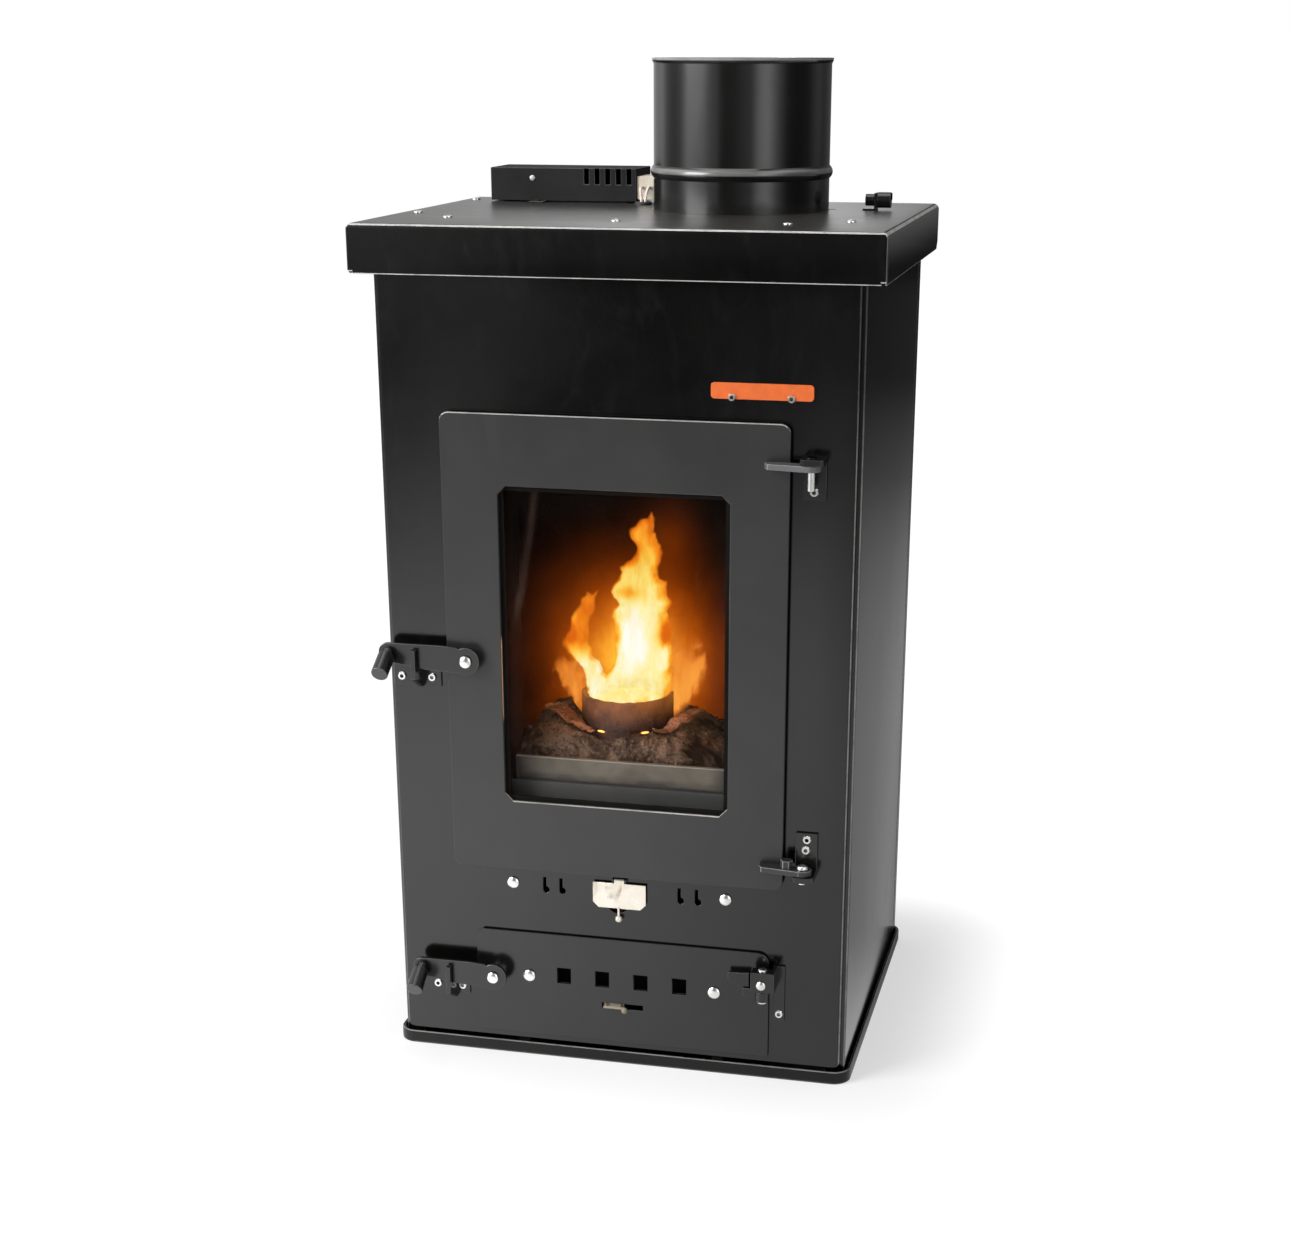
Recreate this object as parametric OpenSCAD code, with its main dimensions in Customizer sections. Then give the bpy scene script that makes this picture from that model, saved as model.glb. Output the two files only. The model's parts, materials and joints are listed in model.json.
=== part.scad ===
/* [Body] */
// Width over the side panels
body_w = 410; // [406:1:416]
// Depth from the front panel to the back panel
body_d = 350; // [346:1:356]
// Height of the body where the lid begins
body_top = 690; // [686:1:696]
// Sheet of the side and back panels
sheet = 1.5; // [1:0.25:2]
// Sheet of the front panel
front_sheet = 2; // [1.5:0.25:2.5]

/* [Base tray] */
// Height of the tray rim
base_t = 12; // [11:0.5:14]
// How far the rim stands out past the body
base_over = 5; // [5:0.5:8]
// Radius of the tray corners
base_corner = 16; // [14:1:20]

/* [Lid] */
// Height of the folded flanges
lid_h = 40; // [38:1:44]
// Overhang at each side
lid_over = 16; // [14:1:20]
// Overhang at the front
lid_front = 10; // [9:1:14]
// How far the lid stops short of the back panel
lid_inset = 15; // [15:1:18]
// Sheet of the lid
lid_sheet = 2; // [1.5:0.25:2.5]

/* [Flue collar] */
// Bore that takes a 150 mm flue pipe
flue_bore_r = 75.2; // [75.1:0.05:75.4]
// Wall of the collar
flue_wall = 1.5; // [1:0.25:1.75]
// Height of the collar above the lid
flue_h = 125; // [120:1:130]
// Place of the collar across the lid
flue_x = 60; // [58:1:62]
// Place of the collar along the lid
flue_y = 45; // [43:1:46]

/* [Main door] */
// Width of the door plate
door_w = 296; // [292:1:298]
// Height of the door plate
door_h = 400; // [396:1:402]
// Bottom edge of the door plate
door_z = 181; // [180:1:182]
// Thickness of the door plate
door_t = 4; // [3:0.5:4]
// Gap behind the door plate, filled by the rope gasket
door_gap = 4; // [4:0.25:5]
// Width of the door plate beside the window
stile_w = 49; // [49:0.5:53]
// Height of the door plate below the window
rail_low = 64; // [63:0.5:66]
// Height of the door plate above the window
rail_high = 60; // [58:0.5:62]

/* [Hinges and latches] */
// Radius of the main hinge pins
pin_r = 3; // [2.5:0.25:3]
// Radial play of every pin in its moving eye
play = 0.05; // [0.03:0.01:0.08]
// Distance from the body centre to the main hinge axis
hinge_x = 166.5; // [166:0.5:167]
// Distance from the front panel to the main hinge axis
hinge_out = 16; // [15.5:0.5:16]
// Thickness of hinge tabs and arms
hinge_t = 5; // [4.5:0.25:5]
// Length of a latch lever from its bolt to its knob
lever_len = 70; // [69:0.5:71]
// Radius of a latch knob
knob_r = 7.3; // [6.5:0.1:7.5]

/* [Ash door] */
// Width of the ash door
ash_w = 268; // [266:1:268]
// Height of the ash door
ash_h = 99.5; // [98:0.5:100]
// Bottom edge of the ash door
ash_z = 20; // [20:0.5:21]
// Thickness of the ash door
ash_t = 2.5; // [2:0.25:2.5]
// Width of an air hole
air_w = 13; // [12:0.5:13.5]
// Height of an air hole
air_h = 15; // [14:0.5:15.5]
// Pitch of the air holes
air_pitch = 35.4; // [35:0.1:36]

/* [Fire] */
// Outer radius of the burn pot
pot_r = 41; // [39:0.5:42]
// Height of the burn pot
pot_h = 64; // [60:1:66]
// Place of the burn pot across the firebox
pot_x = -10; // [-12:1:-6]
// Place of the burn pot along the firebox
pot_y = -95; // [-97:1:-93]

/* [Pellet feed] */
// Inner radius of the auger tube
auger_tube_r = 22; // [21.5:0.25:22.5]
// Wall of the auger tube
auger_wall = 2; // [1.5:0.25:2]
// Outer radius of the auger flight
flight_r = 20.5; // [20:0.25:20.75]
// Pitch of the auger flight
flight_pitch = 36; // [30:1:40]
// Radius of the auger shaft
shaft_r = 6; // [5.5:0.25:6]

/* [Control box] */
// Length of the box
box_l = 138; // [130:1:140]
// Depth of the box
box_d = 56; // [52:1:57]
// Height of the box
box_h = 29; // [26:1:30]

/* [Hidden] */
$fn = 64;

// Paint, metals and the rest, as the photo shows them
black = "#232323";
soot = "#3a3532";
zinc = "#d8d8d6";
steel = "#8f8f8c";
cream = "#e9e0cf";
orange = "#f0762a";

// Main faces of the body
half_w = body_w / 2;
front_y = -body_d / 2;
back_y = body_d / 2;
lid_top = body_top + lid_h;
shell_top = lid_top - lid_sheet;
lid_back_y = back_y - lid_inset;
side_front_y = front_y + 6;
side_back_y = lid_back_y - 2;
back_panel_y = side_back_y + 0.1;
panel_half_w = half_w - 4;
panel_bottom = base_t + 2;
base_floor = 3;

// Main door, its opening and its seal
door_back_y = front_y - door_gap;
door_front_y = door_back_y - door_t;
door_top = door_z + door_h;
window_w = door_w - 2 * stile_w;
window_h = door_h - rail_low - rail_high;
window_z = door_z + rail_low;
opening_inset = 24;
opening_w = door_w - 2 * opening_inset;
opening_z = door_z + opening_inset;
opening_h = door_h - 2 * opening_inset;
rope_w = 8;
rope_inset = 12;
glass_lap = 10;
gasket_show = 4;
gasket_t = 1.2;
glass_t = 4;
glass_y = door_back_y + gasket_t;
frame_inset = 29;
frame_depth = 15;
frame_wall = 2;
frame_half_w = door_w / 2 - frame_inset;
frame_z = door_z + frame_inset;
frame_back_y = door_back_y + 0.1 + frame_depth;

// Hinge stations, as heights of the faces where arm and tab meet
hinge_y = front_y - hinge_out;
upper_tab_z = door_top - 30;
lower_tab_z = door_z + 20;
tab_gap = 0.3;

// Latches: the lever runs in a slot of the catch
lever_t = 4;
lever_y = front_y - 14;
slot_gap = 1.5;
latch_x = -128;
latch_z = door_z + 190;
ash_latch_x = -112;
ash_latch_z = 79;
ash_lever_len = lever_len - 3;
bolt_r = 3;

// Ash door and what hangs on it
ash_x = 3;
ash_back_y = front_y - 0.8;
ash_front_y = ash_back_y - ash_t;
ash_air_z = ash_z + 60;
ash_opening_w = 224;
ash_opening_z = 30;
ash_opening_h = 78;
ash_hinge_x = 133.5;
ash_hinge_y = front_y - 15;
ash_pin_r = 2.5;
slider_t = 1.5;
slider_travel = air_pitch / 2;
slider_bolt_x = 85;
slider_bolt_z = ash_z + 58;
slider_screw_r = 2.5;

// Ignition port
port_r = 9.5;
port_z = 154;
flap_axis_z = 176;
flap_axis_y = front_y - 1.9;
flap_pin_r = 0.8;
flap_w = 48;
flap_h = 23.5;
flap_t = 1.1;

// Firebox, smoke box and ash box
fire_half_w = 152;
fire_wall = 3;
fire_front_y = front_y + front_sheet + 0.4;
fire_back_y = 40;
fire_bottom = 226;
fire_top = door_top + 19;
baffle_z = fire_top - 55;
baffle_front_y = front_y + 67;
baffle_t = 4;
smoke_wall = 2;
smoke_front_y = flue_y - 81;
smoke_back_y = flue_y + 81;
smoke_bottom = fire_top + 0.2;
smoke_top = shell_top - 6;
smoke_half_w = 81;
ash_box_half_w = 114;
ash_box_wall = 2;
ash_box_z = ash_opening_z + 0.2 - ash_box_wall;
pan_foot_z = ash_opening_z + 0.5;
pan_z = pan_foot_z + 2.5;
pan_half_w = 106;
tray_half_w = 97;
tray_front_y = pot_y - 57.8;
tray_back_y = pot_y + 107;
tray_wall = 2;
tray_floor_z = fire_bottom + fire_wall + 0.2;
tray_top = tray_floor_z + 28.8;
pot_seat_z = tray_top + 4;
pot_wall = 3;

// Pellet feed, on an axis that rises at 45 degrees behind the firebox
auger_x = -150;
auger_y = 98;
auger_z = 300;
auger_len = 235;
auger_out_r = auger_tube_r + auger_wall;
// The chute hangs under the outlet of the tube and its floor falls forward at 45 degrees
outlet = auger_len - 20;
chute_x = auger_x + outlet * sin(45);
chute_top = auger_z + outlet * cos(45) + 4;
chute_low = chute_top - auger_y - auger_out_r;
chute_high = chute_top - auger_y + auger_out_r;
chute_end_y = fire_back_y - 48;
hopper_wall = 1.2;
hopper_left = -196;
hopper_right = -34;
hopper_front = 46;
hopper_back = 152;
hopper_top = 700;
filler_x0 = -186;
filler_x1 = -49;
filler_z0 = 574;
filler_z1 = 666;
flap_hinge_z = filler_z0 - 12;
flap_hinge_y = back_y + 5;
filler_pin_r = 2;

// Things on the lid
box_x = -48;
box_y0 = 98;
box_foot = 1.2;
grommet_x = -38;
grommet_y = 84;
feed_y = 60;
feed_x = 176;
feed_z = lid_top + 8.5;
lid_screw_spots = [[-203, -57], [-160, -106], [-12, -117], [131, -119], [177, -83], [-207, 118],
    [-196, 146]];
panel_screw_spots = [[-96, 165.5], [97, 166]];
slot_spots = [-67, -52, 55.5, 71];

// Points of an arc from angle a0 to a1
function arc(cx, cy, r, a0, a1, n = 6) =
    [for (i = [0:n]) let (a = a0 + (a1 - a0) * i / n) [cx + r * cos(a), cy + r * sin(a)]];
// Rectangle about the origin with round corners
function round_rect(w, h, r, n = 6) = concat(
    arc(w / 2 - r, h / 2 - r, r, 0, 90, n), arc(r - w / 2, h / 2 - r, r, 90, 180, n),
    arc(r - w / 2, r - h / 2, r, 180, 270, n), arc(w / 2 - r, r - h / 2, r, 270, 360, n));
// Rectangle about the origin with cut corners
function cut_rect(w, h, c) = [[w / 2, h / 2 - c], [w / 2 - c, h / 2], [c - w / 2, h / 2],
    [-w / 2, h / 2 - c], [-w / 2, c - h / 2], [c - w / 2, -h / 2], [w / 2 - c, -h / 2], [w / 2, c - h / 2]];

// Box between two corners
module block(x0, x1, y0, y1, z0, z1) {
    translate([x0, y0, z0]) cube([x1 - x0, y1 - y0, z1 - z0]);
}
// Upright plate with an outline drawn as seen from the front, from y_back forward by t
module plate(points, x, z, y_back, t) {
    translate([x, y_back, z]) rotate([90, 0, 0]) linear_extrude(t) polygon(points);
}
// Round bar along Y
module y_bar(r, x, z, y0, y1) {
    translate([x, y1, z]) rotate([90, 0, 0]) cylinder(r = r, h = y1 - y0);
}
// Round bar along X
module x_bar(r, y, z, x0, x1) {
    translate([x0, y, z]) rotate([0, 90, 0]) cylinder(r = r, h = x1 - x0);
}
// Round bar along Z
module z_bar(r, x, y, z0, z1) {
    translate([x, y, z0]) cylinder(r = r, h = z1 - z0);
}
// Domed head on its flat face at the origin, with its shank below it
module dome_screw(r, h, shank_r, shank) {
    rotate_extrude() polygon(concat([[0, -shank], [shank_r, -shank], [shank_r, 0], [r, 0], [r, h * 0.3]],
        [for (i = [1:5]) [r * cos(i * 18), h * 0.3 + h * 0.7 * sin(i * 18)]]));
}
// Low round head with a deep round socket
module button_screw(r, h, shank_r, shank) {
    difference() {
        union() {
            translate([0, 0, -shank]) cylinder(r = shank_r, h = shank);
            rotate_extrude() polygon([[0, 0], [r, 0], [r, h * 0.45], [r * 0.82, h], [0, h]]);
        }
        translate([0, 0, h * 0.25]) cylinder(r = r * 0.46, h = h);
    }
}
// Turns a screw to face the front at a place on an upright face
module facing_front(x, z, y) {
    translate([x, y, z]) rotate([90, 0, 0]) children();
}
// Frame of the auger: local Z runs up along its axis and local -X faces up and left
module along_auger() {
    translate([auger_x, auger_y, auger_z]) rotate([0, 45, 0]) children();
}

// Profile of the tray rim, with its outer face at x = base_corner
module rim_profile() {
    polygon(concat([[base_corner - 3, 0], [base_corner - 0.8, 0], [base_corner, 0.8]],
        arc(base_corner - 1.5, base_t - 1.5, 1.5, 0, 180, 8)));
}
module base_tray() color(black) {
    w = body_w + 2 * base_over;
    d = body_d + 2 * base_over;
    linear_extrude(base_floor) polygon(round_rect(w - 3, d - 3, base_corner - 1.5));
    for (k = [0:3]) rotate(90 * k) {
        a = k % 2 == 0 ? w : d;
        b = k % 2 == 0 ? d : w;
        translate([a / 2 - base_corner, b / 2 - base_corner, 0]) rotate_extrude(angle = 90) rim_profile();
        translate([a / 2 - base_corner, b / 2 - base_corner, 0]) rotate([90, 0, 0])
            linear_extrude(b - 2 * base_corner) rim_profile();
    }
}

module front_panel() color(black) {
    back = side_front_y - 0.4;
    difference() {
        intersection() {
            translate([0, 0, panel_bottom]) linear_extrude(shell_top - 2 - panel_bottom) difference() {
                polygon(concat(arc(2.5 - panel_half_w, front_y + 2.5, 2.5, 180, 270),
                    arc(panel_half_w - 2.5, front_y + 2.5, 2.5, 270, 360),
                    [[panel_half_w, back], [-panel_half_w, back]]));
                translate([-panel_half_w + front_sheet, front_y + front_sheet])
                    square([2 * (panel_half_w - front_sheet), body_d]);
            }
            plate(concat(arc(6 - panel_half_w, panel_bottom + 6, 6, 180, 270),
                arc(panel_half_w - 6, panel_bottom + 6, 6, 270, 360),
                [[panel_half_w, lid_top], [-panel_half_w, lid_top]]), 0, 0, back + 1, 20);
        }
        plate(round_rect(opening_w, opening_h, 6), 0, opening_z + opening_h / 2, front_y + 9, 18);
        block(-ash_opening_w / 2, ash_opening_w / 2, front_y - 9, front_y + 9, ash_opening_z,
            ash_opening_z + ash_opening_h);
        y_bar(port_r, 0, port_z, front_y - 9, front_y + 9);
        for (x = slot_spots) {
            block(x - 1.4, x + 1.2, front_y - 9, front_y + 9, 161, 172.5);
            y_bar(2.7, x + 1.2, 161, front_y - 9, front_y + 9);
        }
        for (s = panel_screw_spots) y_bar(2.6, s[0], s[1], front_y - 9, front_y + 9);
        for (s = button_spots) y_bar(1.7, s[0], s[1], front_y - 9, front_y + 9);
        for (x = badge_spots) y_bar(1.7, x, badge_screw_z, front_y - 9, front_y + 9);
    }
}

module side_panel() color(black) difference() {
    translate([0, 0, base_floor]) linear_extrude(shell_top - base_floor) difference() {
        polygon(concat(arc(half_w - 3, side_front_y + 3, 3, 270, 360),
            arc(half_w - 3, side_back_y - 3, 3, 0, 90),
            [[half_w - 18, side_back_y], [half_w - 18, side_front_y]]));
        polygon(concat(arc(half_w - 3, side_front_y + 3, 3 - sheet, 270, 360),
            arc(half_w - 3, side_back_y - 3, 3 - sheet, 0, 90),
            [[0, side_back_y - sheet], [0, side_front_y + sheet]]));
    }
    block(half_w - 30, half_w + 9, side_back_y - 3, side_back_y + 9, shell_top - 3, shell_top + 9);
}
module side_panel_right() {
    side_panel();
}
module side_panel_left() {
    mirror([1, 0, 0]) side_panel();
}

module back_panel() color(black) {
    top = body_top - 2;
    bottom = base_t + 0.3;
    difference() {
        translate([0, 0, bottom]) linear_extrude(top - bottom)
            polygon(concat([[half_w, back_panel_y]], arc(half_w - 3, back_y - 3, 3, 0, 90),
                arc(3 - half_w, back_y - 3, 3, 90, 180), [[-half_w, back_panel_y]]));
        block(sheet - half_w, half_w - sheet, back_panel_y - 5, back_y - sheet, bottom + sheet,
            top - sheet);
        block(filler_x0 + 1, filler_x1 - 1, back_y - 9, back_y + 9, filler_z0 + 1, filler_z1 - 1);
        for (x = [-150, -75, 0, 75, 150], z = [50:12:98])
            block(x - 28, x + 28, back_y - 9, back_y + 9, z, z + 5);
    }
    for (x = [-160, -75]) difference() {
        union() {
            block(x - 8, x + 8, back_y, flap_hinge_y, flap_hinge_z - 4, flap_hinge_z + 4);
            x_bar(4, flap_hinge_y, flap_hinge_z, x - 8, x + 8);
        }
        x_bar(filler_pin_r, flap_hinge_y, flap_hinge_z, x - 9, x + 9);
    }
}

// Outer form of the lid, or its hollow with inset i
module lid_form(i) {
    y0 = front_y - lid_front + i;
    y1 = lid_back_y - i;
    x1 = half_w + lid_over - i;
    z1 = lid_top - i;
    z0 = i > 0 ? body_top - 9 : body_top;
    cut = i > 0 ? 0.1 : 7;
    intersection() {
        translate([x1, 0, 0]) rotate([0, -90, 0]) linear_extrude(2 * x1)
            polygon(concat([[z0, y0]], arc(z1 - 3 + i / 2, y0 + 3 - i / 2, 3 - i / 2, 270, 360),
                arc(z1 - 3 + i / 2, y1 - 3 + i / 2, 3 - i / 2, 0, 90), [[z0 + cut, y1], [z0, y1 - cut]]));
        translate([0, y1, 0]) rotate([90, 0, 0]) linear_extrude(y1 - y0)
            polygon(concat([[x1, z0]], arc(x1 - 5 + i, z1 - 5 + i, 5 - i, 0, 90),
                arc(5 - i - x1, z1 - 5 + i, 5 - i, 90, 180), [[-x1, z0]]));
    }
}
module top_lid() color(black) {
    y0 = front_y - lid_front;
    difference() {
        lid_form(0);
        lid_form(lid_sheet);
        z_bar(flue_bore_r + flue_wall + 0.3, flue_x, flue_y, lid_top - 9, lid_top + 9);
        for (s = [-1, 1]) z_bar(4, flue_x + s * (flue_bore_r + flue_wall + 1), flue_y + 16, lid_top - 9,
            lid_top + 9);
        z_bar(6, grommet_x, grommet_y, lid_top - 9, lid_top + 9);
        for (s = lid_screw_spots) z_bar(2.1, s[0], s[1], lid_top - 9, lid_top + 9);
        for (s = [-1, 1]) {
            block(s * (half_w + lid_over) - 4, s * (half_w + lid_over) + 4, y0 + 2.2, y0 + 3,
                body_top - 9, lid_top - 5);
            block(s * (half_w + lid_over) - 4, s * (half_w + lid_over) + 4, y0 - 9, y0 + 2.3,
                body_top - 9, body_top + 2);
        }
    }
}
module dome_screws() color(zinc) {
    for (s = lid_screw_spots) translate([s[0], s[1], lid_top]) dome_screw(4, 1.8, 1.9, lid_sheet);
    for (s = panel_screw_spots) facing_front(s[0], s[1], front_y) dome_screw(5.4, 3.2, 2.4, 7);
}

module flue_collar() color(black) {
    out_r = flue_bore_r + flue_wall;
    z0 = smoke_top - 18;
    bead_z = lid_top + 32;
    top = lid_top + flue_h;
    bead = [for (i = [0:8]) let (t = i / 8) [2.8 * pow(sin(180 * t), 0.8), bead_z + 5.5 * (2 * t - 1)]];
    translate([flue_x, flue_y, 0]) rotate_extrude($fn = 128) polygon(concat(
        [[flue_bore_r, z0], [out_r, z0]],
        [for (p = bead) [out_r + p[0], p[1]]],
        [[out_r, top - 5], [out_r + 1.4, top - 2], [out_r + 1.4, top], [out_r - 0.2, top],
            [flue_bore_r, top - 4]],
        [for (i = [8:-1:0]) [flue_bore_r + bead[i][0], bead[i][1]]]));
}

module smoke_box() color(soot) {
    x0 = flue_x - smoke_half_w;
    x1 = flue_x + smoke_half_w;
    difference() {
        block(x0, x1, smoke_front_y, smoke_back_y, smoke_bottom, smoke_top);
        block(x0 + smoke_wall, x1 - smoke_wall, smoke_front_y + smoke_wall, smoke_back_y - smoke_wall,
            smoke_bottom + smoke_wall, smoke_top - smoke_wall);
        block(x0 + 6, x1 - 6, smoke_front_y + 6, fire_back_y - fire_wall - 2, smoke_bottom - 9,
            smoke_bottom + 9);
        z_bar(flue_bore_r + flue_wall + 0.2, flue_x, flue_y, smoke_top - 9, smoke_top + 9);
    }
}

module firebox() color(soot) {
    difference() {
        block(-fire_half_w, fire_half_w, fire_front_y, fire_back_y, fire_bottom, fire_top);
        block(fire_wall - fire_half_w, fire_half_w - fire_wall, fire_front_y - 9, fire_back_y - fire_wall,
            fire_bottom + fire_wall, fire_top - fire_wall);
        block(-62, 62, pot_y - 33, pot_y + 95, fire_bottom - 9, fire_bottom + 9);
        block(-frame_half_w - 3, frame_half_w + 3, fire_front_y - 9, frame_back_y + 2, fire_bottom - 9,
            fire_bottom + fire_wall);
        block(flue_x - smoke_half_w + 6, flue_x + smoke_half_w - 6, smoke_front_y + 6,
            fire_back_y - fire_wall - 2, fire_top - 9, fire_top + 9);
        block(chute_x - 22.3, chute_x + 22.3, fire_back_y - 9, fire_back_y + 9, chute_low + fire_back_y - fire_wall - 0.3,
            chute_high + fire_back_y + 0.3);
    }
    for (s = [-1, 1]) block(s * (fire_half_w - fire_wall - 3) - 3, s * (fire_half_w - fire_wall - 3) + 3,
        baffle_front_y - 2, fire_back_y - fire_wall, baffle_z - 4, baffle_z - 0.1);
}
module baffle() color(soot) {
    block(1 + fire_wall - fire_half_w, fire_half_w - fire_wall - 1, baffle_front_y,
        fire_back_y - fire_wall - 1, baffle_z, baffle_z + baffle_t);
}

module ash_box() color(soot) {
    difference() {
        block(-ash_box_half_w, ash_box_half_w, fire_front_y, 22, ash_box_z, fire_bottom - 0.2);
        block(ash_box_wall - ash_box_half_w, ash_box_half_w - ash_box_wall, fire_front_y - 9,
            22 - ash_box_wall, ash_box_z + ash_box_wall, fire_bottom + 9);
        block(-ash_box_half_w - 9, ash_box_half_w + 9, fire_front_y - 9, frame_back_y + 2, frame_z - 3,
            fire_bottom + 9);
    }
    for (s = [-1, 1]) block(s * 90 - 5, s * 90 + 5, fire_front_y, 20, base_floor, ash_box_z + 1);
}
module burner_tray() color(soot) {
    difference() {
        block(-tray_half_w, tray_half_w, tray_front_y, tray_back_y, tray_floor_z, tray_top);
        block(tray_wall - tray_half_w, tray_half_w - tray_wall, tray_front_y + tray_wall,
            tray_back_y - tray_wall, tray_floor_z + tray_wall, tray_top + 9);
        z_bar(30, pot_x, pot_y, tray_floor_z - 9, tray_floor_z + 9);
    }
    difference() {
        z_bar(33, pot_x, pot_y, tray_floor_z + 1, pot_seat_z);
        z_bar(30, pot_x, pot_y, tray_floor_z, pot_seat_z + 9);
    }
}
module burn_pot() color("#5a3c30") {
    z0 = pot_seat_z + 0.2;
    difference() {
        z_bar(pot_r, pot_x, pot_y, z0, z0 + pot_h);
        z_bar(pot_r - pot_wall, pot_x, pot_y, z0 + pot_wall, z0 + pot_h + 9);
        for (i = [0:7]) translate([pot_x, pot_y, z0 + 36]) rotate(22.5 + 45 * i)
            translate([pot_r - pot_wall / 2, 0, 0]) cube([12, 9, 3], center = true);
        for (i = [0:11]) translate([pot_x, pot_y, z0]) rotate(30 * i) translate([20, 0, -1])
            cylinder(r = 3, h = 9);
        z_bar(3, pot_x, pot_y, z0 - 1, z0 + 9);
    }
}
module ash_lip() color(soot) {
    block(-tray_half_w - 3, tray_half_w + 3, tray_front_y - 7.4, tray_front_y - 5.4, tray_floor_z,
        tray_top - 1);
}
module grate_bar() color(steel) {
    block(1 - tray_half_w, tray_half_w - 1, tray_front_y - 5.2, tray_front_y - 0.2, tray_top - 3,
        tray_top + 21);
}
module ignition_tube() color(soot) {
    difference() {
        union() {
            y_bar(11.5, 0, port_z, front_y + front_sheet + 0.1, -104);
            y_bar(16, 0, port_z, front_y + front_sheet + 0.1, front_y + front_sheet + 1.6);
        }
        y_bar(port_r + 0.3, 0, port_z, front_y - 9, -95);
    }
}

// Outline of the hopper seen from the front: a bin whose floor lies along the auger tube
function hopper_outline(i) = let (k = auger_z - auger_x + 36, j = i * 1.414) [
    [hopper_left + i, hopper_top - i], [hopper_right - i, hopper_top - i],
    [hopper_right - i, hopper_right - i + k + j], [-190, k - 190 + j], [hopper_left + i, k - 190 + j]];
module hopper() color(steel) {
    duct_half = 20;
    difference() {
        union() {
            difference() {
                plate(hopper_outline(0), 0, 0, hopper_back, hopper_back - hopper_front);
                plate(hopper_outline(hopper_wall), 0, 0, hopper_back - hopper_wall,
                    hopper_back - hopper_front - 2 * hopper_wall);
            }
            along_auger() block(-auger_out_r - 3, -15, -duct_half, duct_half, 8, 92);
            block(filler_x0, filler_x1, hopper_back - hopper_wall, back_y - sheet - 0.1, filler_z0,
                filler_z1);
        }
        along_auger() translate([0, 0, -30]) cylinder(r = auger_out_r + 0.02, h = 200);
        along_auger() block(-auger_out_r - 9, -10, 1.5 - duct_half, duct_half - 1.5, 9.5, 90.5);
        block(filler_x0 + 1.5, filler_x1 - 1.5, hopper_back - 9, back_y + 9, filler_z0 + 1.5,
            filler_z1 - 1.5);
    }
}
module auger_tube() color(steel) {
    plate_half = 35;
    difference() {
        along_auger() union() {
            translate([0, 0, -18]) cylinder(r = auger_out_r, h = auger_len + 18);
            block(-plate_half, plate_half, -plate_half, plate_half, auger_len, auger_len + 4);
        }
        along_auger() translate([0, 0, -15]) cylinder(r = auger_tube_r, h = auger_len + 15);
        along_auger() block(-auger_out_r - 9, 0, -18.5, 18.5, 9.5, 90.5);
        along_auger() translate([0, 0, auger_len - 1]) cylinder(r = shaft_r + 1, h = 9);
        along_auger() block(-3, auger_out_r + 9, -auger_out_r - 9, -10, auger_len - 45, auger_len - 13);
    }
}
module pellet_chute() color(steel) {
    difference() {
        translate([chute_x - 22, 0, 0]) rotate([90, 0, 90]) linear_extrude(44)
            polygon([[chute_end_y, chute_low + chute_end_y], [auger_y + auger_out_r, chute_top],
                [auger_y - auger_out_r, chute_top], [chute_end_y, chute_high + chute_end_y]]);
        translate([chute_x - 20.5, 0, 0]) rotate([90, 0, 90]) linear_extrude(41)
            polygon([[-16, chute_low - 13.9], [140, chute_low + 142.1], [140, chute_high + 137.9],
                [-16, chute_high - 18.1]]);
        along_auger() cylinder(r = auger_out_r + 0.05, h = auger_len + 40);
        along_auger() block(-90, 2, -22, 60, 0, auger_len + 40);
    }
}
module auger_shaft() color(zinc) {
    along_auger() translate([0, 0, -12]) cylinder(r = shaft_r, h = auger_len + 34);
}
module auger_flight() color(steel) {
    turns = (auger_len - 25) / flight_pitch;
    along_auger() linear_extrude(auger_len - 25, twist = -360 * turns, slices = round(16 * turns), $fn = 8)
        translate([shaft_r + 0.1, -4]) square([flight_r - shaft_r - 0.4, 8]);
}
module gearmotor() color(black) {
    z0 = auger_len + 4.1;
    difference() {
        along_auger() union() {
            block(-32, 32, -32, 32, z0, z0 + 40);
            translate([0, 0, z0 + 39]) cylinder(r = 21, h = 50);
            block(-12, 12, 20, 26, z0 + 50, z0 + 80);
        }
        along_auger() translate([0, 0, z0 - 1]) cylinder(r = shaft_r + play, h = 24);
    }
}

module filler_flap() color(black) {
    mid = (filler_x0 + filler_x1) / 2;
    difference() {
        union() {
            plate(cut_rect(150, 109, 5), mid, (filler_z0 + filler_z1) / 2 + 1.2, back_y + 2, 1.5);
            x_bar(4, flap_hinge_y, flap_hinge_z, -150, -85);
            block(-150, -85, back_y + 0.5, back_y + 2, flap_hinge_z, flap_hinge_z + 12);
        }
        x_bar(filler_pin_r + play, flap_hinge_y, flap_hinge_z, -151, -84);
    }
}
module filler_knob() color(black) {
    translate([(filler_x0 + filler_x1) / 2, back_y + 2, filler_z1 - 12]) rotate([-90, 0, 0])
        rotate_extrude() polygon([[0, 0], [4, 0], [4, 9], [9, 12], [9, 17], [7, 19], [0, 19]]);
}
module filler_pin() color(zinc) {
    x_bar(filler_pin_r, flap_hinge_y, flap_hinge_z, -170, -65);
}

badge_x = 123;
badge_z = door_top + 25;
badge_screw_z = badge_z - 6;
badge_spots = [98.5, 147];
module badge() color(orange) difference() {
    plate(round_rect(84, 13, 3), badge_x, badge_z - 1, front_y - 0.1, 2);
    for (x = badge_spots) y_bar(1.7, x, badge_screw_z, front_y - 9, front_y + 9);
}
module badge_screws() color(zinc) {
    for (x = badge_spots) facing_front(x, badge_screw_z, front_y - 2.1)
        button_screw(3.2, 1.8, 1.6, front_sheet + 2.1);
}

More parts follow.
